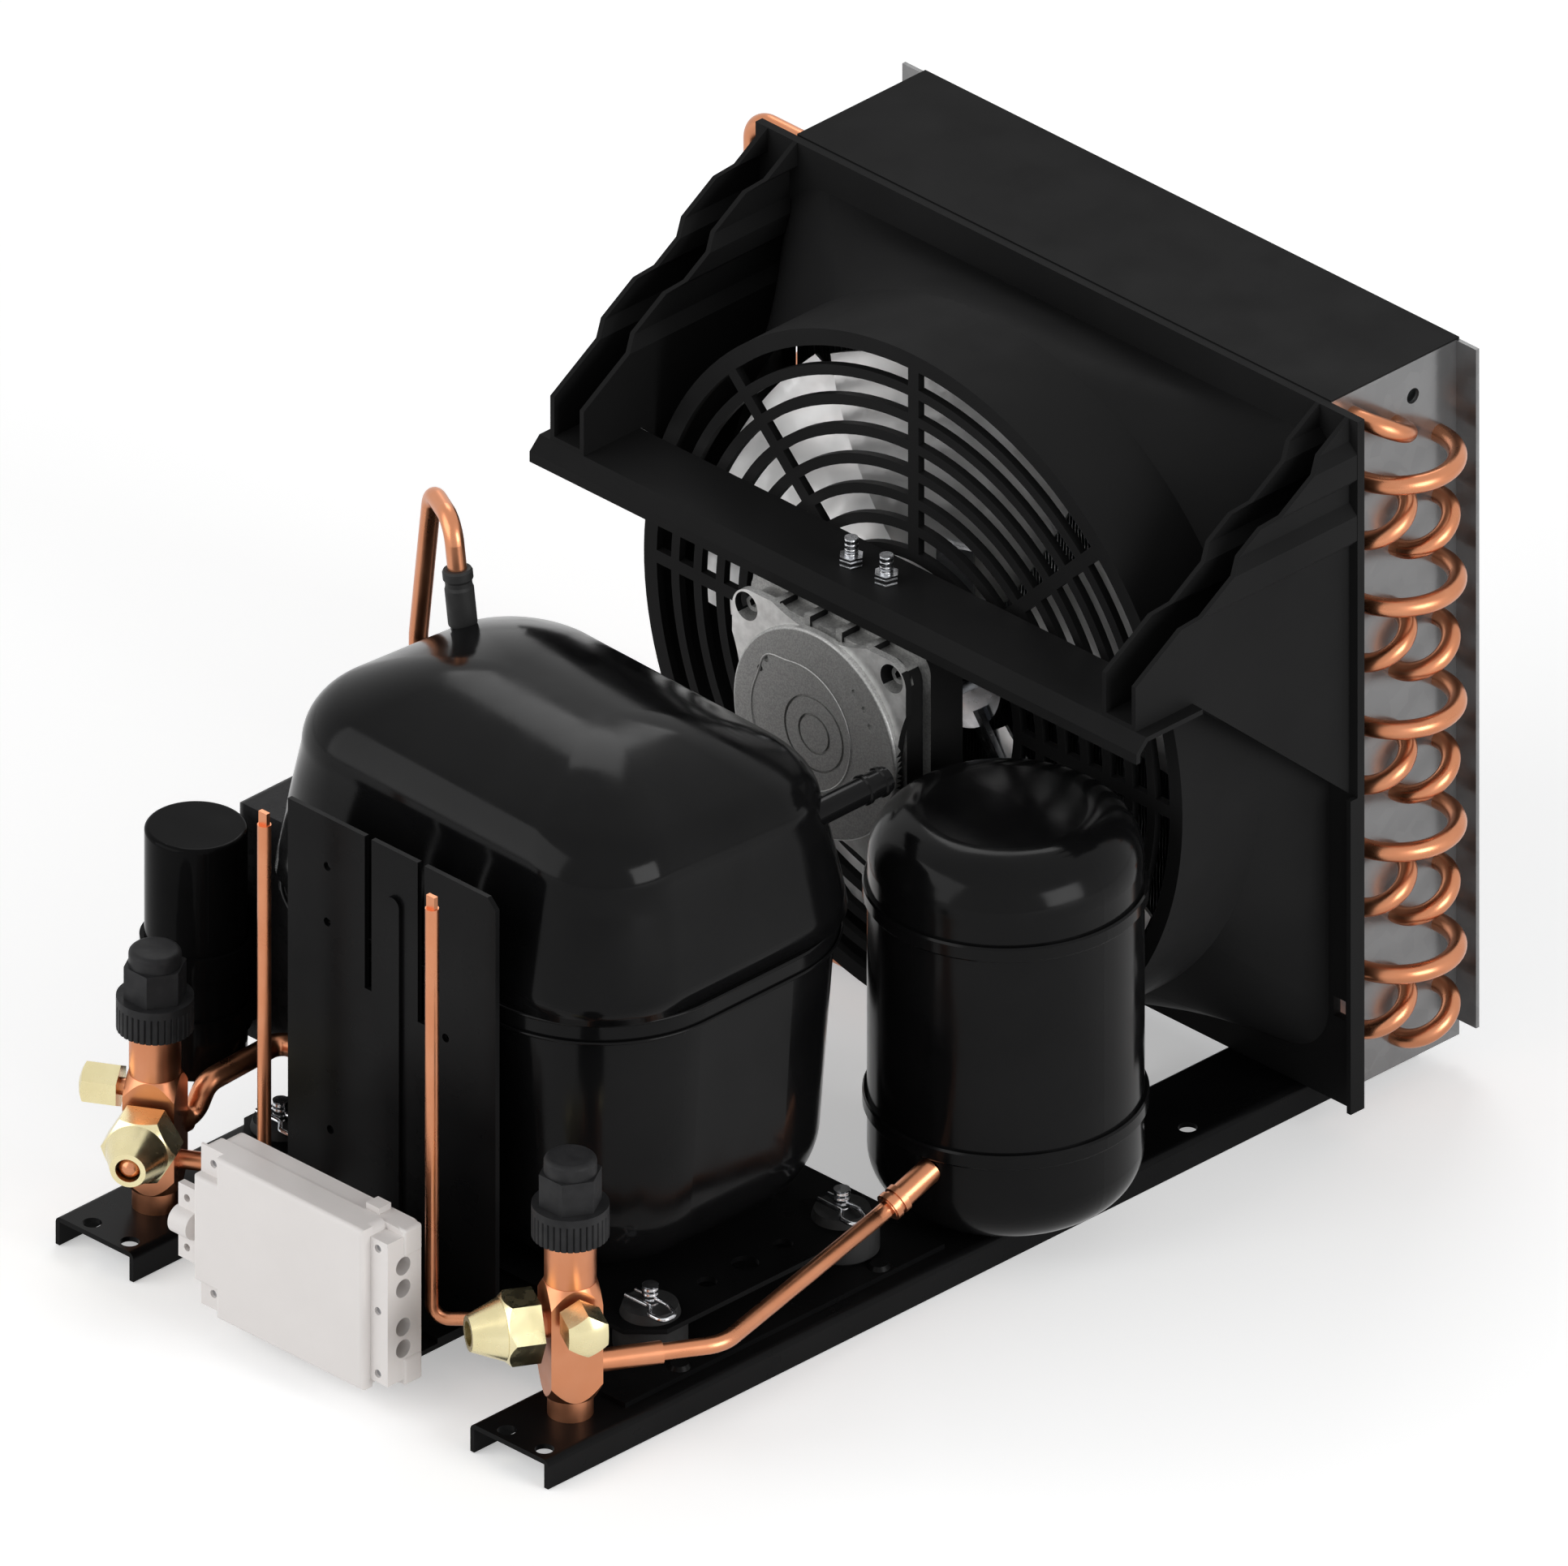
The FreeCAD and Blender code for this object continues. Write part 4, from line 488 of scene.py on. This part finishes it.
def buildCapLine():
    low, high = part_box("motor_housing")
    middle = (low + high) / 2
    data = bpy.data.curves.new("capLine", "CURVE")
    data.dimensions = "3D"
    data.bevel_depth = capLine["thick"]
    line = data.splines.new("POLY")
    line.points.add(capLine["steps"] - 1)
    line.use_cyclic_u = True
    for index in range(capLine["steps"]):
        degrees = 360.0 * index / capLine["steps"]
        away = (degrees - capLine["lobeAt"]) / capLine["lobeWidth"]
        radius = capLine["radius"] + capLine["lobe"] * math.exp(-away * away)
        turn = math.radians(degrees)
        x = middle.x + capLine["shift"][0] + radius * math.cos(turn)
        z = middle.z + capLine["shift"][1] + radius * math.sin(turn)
        line.points[index].co = (x, low.y + capLine["thick"] * capLine["proud"], z, 1)
    ridge = addPiece("capLine", data, "motorCasting")
    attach(ridge, "chassis")


buildCapLine()
print("motor dressed")

# drawn dome: walls that lean in a little, round shoulders, a crown that is higher at the left and the front
dome = {"tuck": 0.0016, "wall": (0.0455, 0.0095), "wallEase": 1.15, "wallSteps": 6,
        "shoulder": 0.0225, "turn": 61.0, "shoulderSteps": 12,
        "crown": 0.0141, "flat": 2.0, "close": 0.0725, "crownSteps": 16,
        "lean": 0.0042, "forward": 0.0075, "leanEase": 1.5,
        "corner": 0.56, "sheet": 0.003, "quarter": 30,
        "flangeCorner": 0.052, "flangeHeight": 0.0088, "bead": 0.0007}


# height over the weld and distance inside the flange, from the weld to the middle of the crown
def domeLevels():
    wallRise, wallIn = dome["wall"]
    levels = []
    for step in range(dome["wallSteps"] + 1):
        share = step / dome["wallSteps"]
        levels.append((wallRise * share, dome["tuck"] + (wallIn - dome["tuck"]) * share ** dome["wallEase"]))
    for step in range(1, dome["shoulderSteps"] + 1):
        turn = math.radians(dome["turn"] * step / dome["shoulderSteps"])
        levels.append((wallRise + dome["shoulder"] * math.sin(turn),
                       wallIn + dome["shoulder"] * (1 - math.cos(turn))))
    rise, inset = levels[-1]
    for step in range(1, dome["crownSteps"] + 1):
        share = step / dome["crownSteps"]
        levels.append((rise + dome["crown"] * (1 - (1 - share) ** dome["flat"]),
                       inset + (dome["close"] - inset) * share))
    return levels


def domeRing(halfX, halfY, corner):
    ring = []
    for sideX, sideY, start in ((1, -1, -90), (1, 1, 0), (-1, 1, 90), (-1, -1, 180)):
        for step in range(dome["quarter"] + 1):
            turn = math.radians(start + 90 * step / dome["quarter"])
            ring.append((sideX * (halfX - corner) + corner * math.cos(turn),
                         sideY * (halfY - corner) + corner * math.sin(turn)))
    return ring


def buildDome():
    low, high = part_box("compressor_upper_shell")
    middle = (low + high) / 2
    fullX = (high.x - low.x) / 2 + dome["tuck"]
    fullY = (high.y - low.y) / 2 + dome["tuck"]
    mesh = bmesh.new()
    rings = []
    levels = domeLevels()
    top = levels[-1][0]
    for rise, inset in levels:
        halfX, halfY = fullX - inset, fullY - inset
        share = (rise / top) ** dome["leanEase"]
        ring = []
        for x, y in domeRing(halfX, halfY, halfY * dome["corner"]):
            z = low.z + rise + share * (dome["forward"] * -y / fullY - dome["lean"] * x / fullX)
            ring.append(mesh.verts.new((middle.x + x, middle.y + y, z)))
        rings.append(ring)
    for lower, upper in zip(rings, rings[1:]):
        for index in range(len(lower)):
            after = (index + 1) % len(lower)
            mesh.faces.new((lower[index], lower[after], upper[after], upper[index]))
    mesh.faces.new(rings[-1])
    data = bpy.data.meshes.new("domeShell")
    mesh.to_mesh(data)
    mesh.free()
    for face in data.polygons:
        face.use_smooth = True
    shellTop = addPiece("domeShell", data, "shellEnamel")
    wall = shellTop.modifiers.new("sheet", "SOLIDIFY")
    wall.thickness = dome["sheet"]
    wall.offset = -1
    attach(shellTop, "chassis")
    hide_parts("compressor_upper_shell")


# rolled edges of the weld flange, which catch the light
def rollFlange():
    low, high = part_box("compressor_upper_shell")
    middle = (low + high) / 2
    halfX = (high.x - low.x) / 2 + dome["tuck"]
    halfY = (high.y - low.y) / 2 + dome["tuck"]
    ring = domeRing(halfX, halfY, dome["flangeCorner"])
    data = bpy.data.curves.new("flangeBeads", "CURVE")
    data.dimensions = "3D"
    data.bevel_depth = dome["bead"]
    for level in (low.z - dome["flangeHeight"] + dome["bead"], low.z - dome["bead"]):
        line = data.splines.new("POLY")
        line.points.add(len(ring) - 1)
        line.use_cyclic_u = True
        for point, (x, y) in zip(line.points, ring):
            point.co = (middle.x + x, middle.y + y, level, 1)
    beads = addPiece("flangeBeads", data, "shellEnamel")
    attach(beads, "chassis")


buildDome()
rollFlange()
print("dome drawn")

# thin foil fins in front of and behind the tube block
fins = {"pitch": 0.0015, "thick": 0.0003, "ripple": 0.0004, "depth": 0.005, "steps": 44}


def addBlock(mesh, low, high):
    places = [(x, y, z) for x in (low.x, high.x) for y in (low.y, high.y) for z in (low.z, high.z)]
    corners = [mesh.verts.new(place) for place in places]
    for side in ((0, 1, 3, 2), (4, 6, 7, 5), (0, 4, 5, 1), (2, 3, 7, 6), (0, 2, 6, 4), (1, 5, 7, 3)):
        mesh.faces.new([corners[index] for index in side])


def buildFins():
    low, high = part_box("coil_fins")
    mesh = bmesh.new()
    inner = Vector((0, fins["depth"], 0))
    addBlock(mesh, low + inner, high - inner)
    count = int((high.x - low.x) / fins["pitch"])
    for index in range(count + 1):
        left = low.x + (high.x - low.x - fins["thick"]) * index / count
        for edge, core, way in ((low.y, low.y + fins["depth"], 1), (high.y, high.y - fins["depth"], -1)):
            previous = None
            for step in range(fins["steps"] + 1):
                z = low.z + (high.z - low.z) * step / fins["steps"]
                y = edge + way * fins["ripple"] * (step % 2)
                right = left + fins["thick"]
                points = ((left, core, z), (left, y, z), (right, y, z), (right, core, z))
                row = [mesh.verts.new(point) for point in points]
                if previous:
                    for side in range(3):
                        mesh.faces.new((previous[side], previous[side + 1], row[side + 1], row[side]))
                previous = row
    bmesh.ops.recalc_face_normals(mesh, faces=mesh.faces)
    data = bpy.data.meshes.new("finPack")
    mesh.to_mesh(data)
    mesh.free()
    pack = addPiece("finPack", data, "finFoil")
    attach(pack, "chassis")
    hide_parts("coil_fins")


buildFins()
print("fins built")
